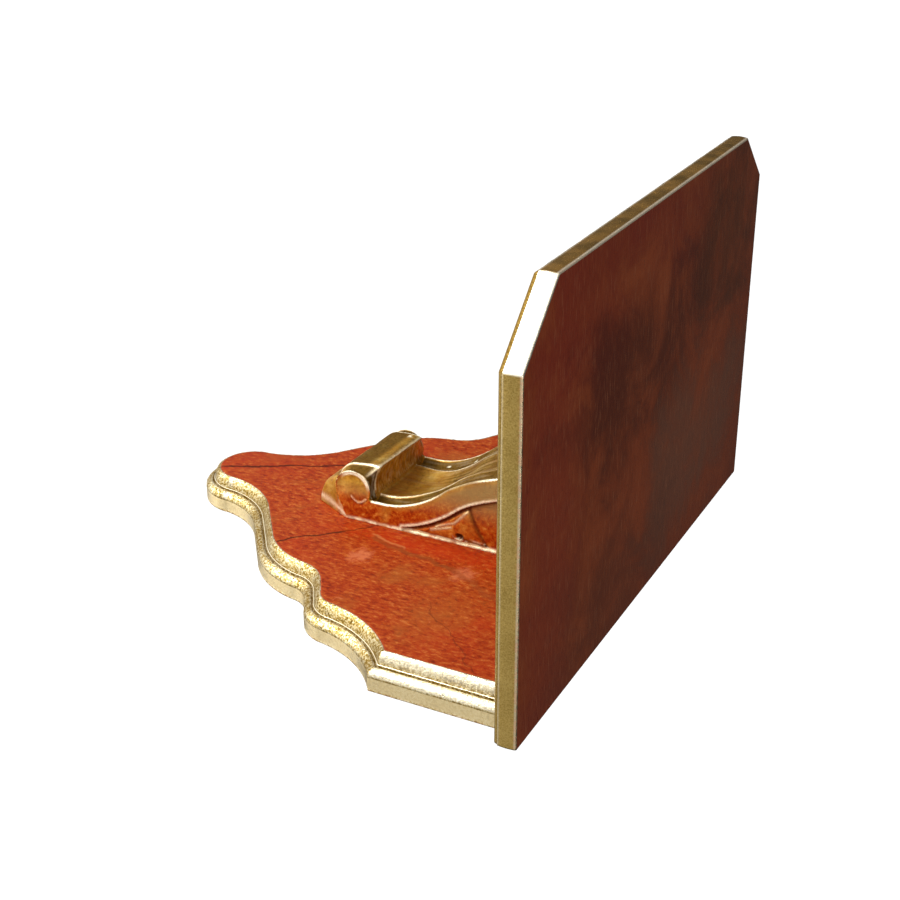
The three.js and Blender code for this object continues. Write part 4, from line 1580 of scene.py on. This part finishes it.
        # painted light: the sides and the disc turn paler and greener toward the front
        warm = ease(high, 10.0, 32.0) * trunk_side + in_disc * ease(high, 10.0, 24.0)
        masks = {Mask.GOLD: gold, Mask.PAINTED_HIGHLIGHT: bright, Mask.DIRT_AND_SHADE: dirt, Mask.PAINTED_LIGHT_AND_SHADE: warm}
        return cut, {mask: np.clip(values, 0.0, 1.0) for mask, values in masks.items()}

    def place(self, view: np.ndarray, across: np.ndarray) -> np.ndarray:
        """Sets points of the side view in space.

        Args:
            view: Down and out, one a row, in millimetres.
            across: How far across each is, in millimetres.

        Returns:
            Their places in the row's frame, in millimetres.
        """
        out = np.clip(view[:, 1], 0.0, None) / self.projection
        wide = across * (1.0 + self.flare / self.half_width * (1.0 - out))
        return np.column_stack([wide, -PLATE_FRONT - 0.3 - view[:, 1], SHELF_UNDERSIDE - view[:, 0]])

    def add_side(self, draft: MeshDraft, side: Side, border: np.ndarray, numbers: np.ndarray) -> list[int]:
        """Fills one side between the front's border, the back plate and the shelf.

        Args:
            draft: The mesh so far, with the front in it.
            side: Which side.
            border: The front's last points on this side, from the shelf down, in side view.
            numbers: Their point numbers.

        Returns:
            The point numbers along the back plate and up to the shelf, from the nose to the front's top.
        """
        back_count = max(2, round(border[-1, 0] / self.side_spacing))
        back = np.column_stack([np.linspace(border[-1, 0], 0.0, back_count + 1)[1:],
                                np.full(back_count, -self.embed)])
        top_count = max(2, round((border[0, 1] + self.embed) / self.side_spacing))
        top = np.column_stack([np.zeros(top_count - 1),
                               np.linspace(-self.embed, border[0, 1], top_count + 1)[1:-1]])
        rim = np.concatenate([back, top])
        loop = np.concatenate([border, rim])
        low, high = loop.min(axis=0), loop.max(axis=0)
        step = self.side_spacing
        rows = np.arange(low[1] + step / 2.0, high[1], step * 0.87)
        lattice = []
        for i, out in enumerate(rows):
            downs = np.arange(low[0] + (i % 2) * step / 2.0, high[0], step)
            lattice.append(np.column_stack([downs, np.full(len(downs), out)]))
        inner = np.concatenate(lattice)
        inner = inner[inside_of(inner, loop)]
        off, _ = near_line(inner, np.concatenate([loop, loop[:1]]))
        inner = inner[off > step * 0.45]
        flat = np.concatenate([loop, inner])
        given = [Vector(point) for point in flat.tolist()]
        made = delaunay_2d_cdt(given, [], [list(range(len(loop)))], 1, 1e-7)
        cut, masks = self.side_relief(np.concatenate([rim, inner]), side)
        cut[:len(rim)] = 0.0
        added = np.concatenate([rim, inner])
        first = draft.add(self.place(added, side.value * (self.half_width - cut)), masks)
        known = np.concatenate([numbers, first + np.arange(len(added))])
        origin = [source[0] if source else -1 for source in made[3]]
        for corners in made[2]:
            draft.face([known[origin[corner]] for corner in corners], ConsoleCoat.CARVED, flat=False)
        return [int(number) for number in known[len(border):len(loop)]]

    def build(self) -> bpy.types.Object:
        """Builds the console as one closed body.

        Returns:
            The dressed object.
        """
        draft = MeshDraft()
        places, views, starts = self.front_grid()
        count, length = views.shape[:2]
        across = np.repeat(places * self.half_width, length)
        front = self.place(views.reshape(-1, 2), across)
        masks = {mask: values.reshape(-1) for mask, values in self.front_masks(places, views, starts).items()}
        row = np.tile(np.arange(length), count)
        on_wall = (row > starts[0] + 1) & (row < starts[1])
        # tool marks on the scroll's wall and strokes on the trunk, with painted highlights on their ridges
        # and painted shade in their cuts
        marks = hills(front * np.array([1.0, 0.3, 0.3]) + 0.5 * front[:, [2]], 0.9, 24)
        strokes = hills(front * np.array([1.0, 0.12, 0.12]), 1.3, 25) * (row < starts[0])
        # painted glints at the far end of the scroll and dashes of painted highlight in the far flute
        far_end = np.repeat(ease(places, -0.55, -0.68) * ease(places, -0.78, -0.72), length)
        glints = ease(hills(front, 1.4, 27), 0.25, 0.5) * far_end * (np.abs(row - starts[1]) < 6)
        far_flute = np.repeat(ease(places, -0.62, -0.68), length)
        far_flute = far_flute * (row < starts[0] - 8) * (row > starts[0] - 70)
        dashes = hills(front * np.array([1.0, 0.35, 0.35]), 1.5, 28)
        glints = glints + 0.8 * ease(dashes, 0.6, 0.75) * far_flute
        masks[Mask.DIRT_AND_SHADE] = np.clip(masks[Mask.DIRT_AND_SHADE] + 0.4 * np.clip(-marks, 0.0, 1.0) * on_wall
                                   + 0.3 * np.clip(-strokes, 0.0, 1.0), 0.0, 1.0)
        masks[Mask.PAINTED_HIGHLIGHT] = np.clip(masks[Mask.PAINTED_HIGHLIGHT] + 0.45 * np.clip(marks, 0.0, 1.0) * on_wall
                                     + 0.1 * np.clip(strokes, 0.0, 1.0) + glints, 0.0, 1.0)
        draft.add(front, masks)
        index = np.arange(count * length).reshape(count, length)
        draft.quads(index, ConsoleCoat.CARVED)
        left = self.add_side(draft, Side.LEFT, views[0], index[0])
        right = self.add_side(draft, Side.RIGHT, views[-1], index[-1])
        tops = round((views[0, 0, 1] + self.embed) / self.side_spacing) - 1
        left_back, left_top = left[:-tops], left[-tops:]
        right_back, right_top = right[:-tops], right[-tops:]
        draft.face([*index[:, -1], *right_back, *left_back[::-1]], ConsoleCoat.WOOD)
        upper = [*index[:, 0], *right_top[::-1], right_back[-1], left_back[-1], *left_top]
        draft.face(upper, ConsoleCoat.WOOD)
        points = draft.points()
        clear = ease(points[:, 1], -PLATE_FRONT - 0.3, -PLATE_FRONT - 1.5)
        clear *= ease(points[:, 2], SHELF_UNDERSIDE, SHELF_UNDERSIDE - 1.5)
        tool = hills(points * np.array([1.0, 0.22, 0.22]), 0.8, 23)
        wall = np.zeros(len(points))
        wall[:count * length] = (row > starts[0]) & (row < starts[1])
        relief = 0.07 * hills(points, 1.5, 21) + 0.12 * hills(points, 6.0, 22) + 0.12 * tool * wall - 0.1
        finishes = [CarvedFinish().material(), BareWood("console_back_wood").material()]
        low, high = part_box("console")
        limit = (low, Vector((high.x, -(PLATE_FRONT - 0.05) * MM, high.z + 0.3 * MM)))
        return draft.finish("carved_console", finishes, relief * clear, limit)


def inside_of(places: np.ndarray, outline: np.ndarray) -> np.ndarray:
    """Tells which points lie inside a closed outline.

    Args:
        places: Points in the plane, one a row.
        outline: The outline's points, one a row.

    Returns:
        True for each point inside.
    """
    inside = np.zeros(len(places), dtype=bool)
    ends = np.roll(outline, -1, axis=0)
    for start, end in zip(outline, ends):
        if start[1] == end[1]:
            continue
        crosses = (start[1] > places[:, 1]) != (end[1] > places[:, 1])
        reach = (end[0] - start[0]) * (places[:, 1] - start[1]) / (end[1] - start[1]) + start[0]
        inside ^= crosses & (places[:, 0] < reach)
    return inside


@dataclass(frozen=True)
class SoftLight:
    """One studio light.

    Attributes:
        name: Its name.
        direction: From the bracket toward the light.
        distance: How far away, in metres.
        size: Its width and height, in metres.
        watts: Its strength.
    """

    name: str
    direction: Triple
    distance: float
    size: tuple[float, float]
    watts: float

    def place(self, target: Vector) -> bpy.types.Object:
        """Sets the light in the scene.

        Args:
            target: What it shines at.

        Returns:
            The light's object.
        """
        data = bpy.data.lights.new(self.name, "AREA")
        data.shape = "RECTANGLE"
        data.size, data.size_y = self.size
        data.energy = self.watts
        lamp = bpy.data.objects.new(self.name, data)
        lamp.location = target + Vector(self.direction).normalized() * self.distance
        lamp.rotation_euler = (target - lamp.location).to_track_quat("-Z", "Y").to_euler()
        lamp.visible_camera = False
        bpy.context.scene.collection.objects.link(lamp)
        return lamp


@dataclass(frozen=True)
class Glow:
    """One soft bright part of the room.

    Attributes:
        direction: From the bracket toward its middle.
        begins: Cosine of the angle from its middle where it begins.
        full: Cosine of the angle from its middle where it is full.
        strength: How bright it is.
    """

    direction: Triple
    begins: float
    full: float
    strength: float


@dataclass
class Studio:
    """Plain pale floor, soft light and the photograph's camera."""

    floor_height: float = -0.9
    floor_size: float = 60.0
    target: Vector = field(default_factory=lambda: Vector((0.0, -0.08, -0.06)))
    wash_height: float = 0.1
    wash_size: float = 58.0
    wash_watts: float = 10650.0
    lights: tuple[SoftLight, ...] = (
        SoftLight("key_light", (0.43, -0.80, -0.41), 1.1, (0.2, 0.3), 9.0),
        SoftLight("front_light", (-0.15, -0.85, 0.5), 1.6, (1.2, 1.2), 5.0),
        SoftLight("top_light", (0.7, -0.1, 0.72), 1.1, (0.7, 0.7), 4.0),
    )
    dimmest: float = 0.07
    glows: tuple[Glow, ...] = (
        Glow((0.05, -0.3, -0.95), 0.4, 0.95, 1.4),
        Glow((0.3, -0.9, -0.3), 0.5, 1.0, 1.2),
        Glow((0.9, 0.3, -0.3), 0.1, 1.0, 0.6),
    )
    lens: float = 60.352
    camera_place: Triple = (0.66218, -0.40674, 0.27607)
    camera_turn: Triple = (-0.434932, -1.096664, 3.136512)

    def build_floor(self) -> bpy.types.Object:
        """Lays the floor.

        Returns:
            The floor's object.
        """
        half = self.floor_size / 2.0
        mesh = bpy.data.meshes.new("studio_floor")
        corners = [(-half, -half, self.floor_height), (half, -half, self.floor_height),
                   (half, half, self.floor_height), (-half, half, self.floor_height)]
        mesh.from_pydata(corners, [], [(0, 1, 2, 3)])
        bench = new_finish("studio_floor_pale")
        paint = bench.ramp(bench.noise(3.0, 2.0), [(0.0, (250, 250, 250)), (1.0, (255, 255, 255))])
        mesh.materials.append(bench.surface(Base_Color=paint, Roughness=0.9))
        floor = bpy.data.objects.new("studio_floor", mesh)
        bpy.context.scene.collection.objects.link(floor)
        floor.visible_glossy = False
        wash = bpy.data.lights.new("floor_wash", "AREA")
        wash.shape = "SQUARE"
        wash.size = self.wash_size
        wash.energy = self.wash_watts
        lamp = bpy.data.objects.new("floor_wash", wash)
        lamp.location = (0.0, 0.0, self.floor_height + self.wash_height)
        lamp.visible_camera = False
        lamp.visible_glossy = False
        bpy.context.scene.collection.objects.link(lamp)
        return floor

    def build_world(self) -> None:
        """Lights the room: bright in front and below, dim behind the far end, white to look at."""
        bench = NodeBench(bpy.data.worlds.new("studio_room"))
        total: object = self.dimmest
        for glow in self.glows:
            middle = Vector(glow.direction).normalized()
            toward = bench.vector("DOT_PRODUCT", bench.places["Generated"], middle, "Value")
            total = bench.math("ADD", bench.rise(toward, glow.begins, glow.full, 0.0, glow.strength), total)
        straight = bench.node("LightPath", {}).outputs["Is Camera Ray"]
        white = (1.0, 1.0, 1.0, 1.0)
        room = bench.node("Background", {"Color": white, "Strength": bench.math("MAXIMUM", straight, total)})
        bench.node("OutputWorld", {"Surface": room.outputs["Background"]})
        bpy.context.scene.world = bench.owner

    def build_camera(self) -> bpy.types.Object:
        """Sets the camera where the photograph was taken.

        Returns:
            The camera's object.
        """
        data = bpy.data.cameras.new("photo_camera")
        data.sensor_width = 36.0
        data.lens = self.lens
        camera = bpy.data.objects.new("photo_camera", data)
        camera.location = self.camera_place
        camera.rotation_euler = self.camera_turn
        bpy.context.scene.collection.objects.link(camera)
        bpy.context.scene.camera = camera
        return camera

    def build(self) -> None:
        """Builds the whole studio."""
        self.build_camera()
        self.build_floor()
        self.build_world()
        for light in self.lights:
            light.place(self.target)
        bpy.context.scene.view_settings.view_transform = "Standard"


def main() -> None:
    """Builds the bracket's pieces around the frame, then the studio."""
    logging.basicConfig(level=logging.INFO, format="%(name)s: %(message)s")
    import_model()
    pieces = (
        (Shelf(), "shelf", Slot.DARK_LACQUER),
        (BackPlate(), "back_plate", Slot.RED_PAINT),
        (Console(), "console", Slot.GILDING),
    )
    for maker, node, slot in pieces:
        piece = maker.build()
        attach(piece, "root")
        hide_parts(node)
        LOG.info("%s stands for %s with %d faces", piece.name, node, len(piece.data.polygons))
    Studio().build()


if __name__ == "__main__":
    main()
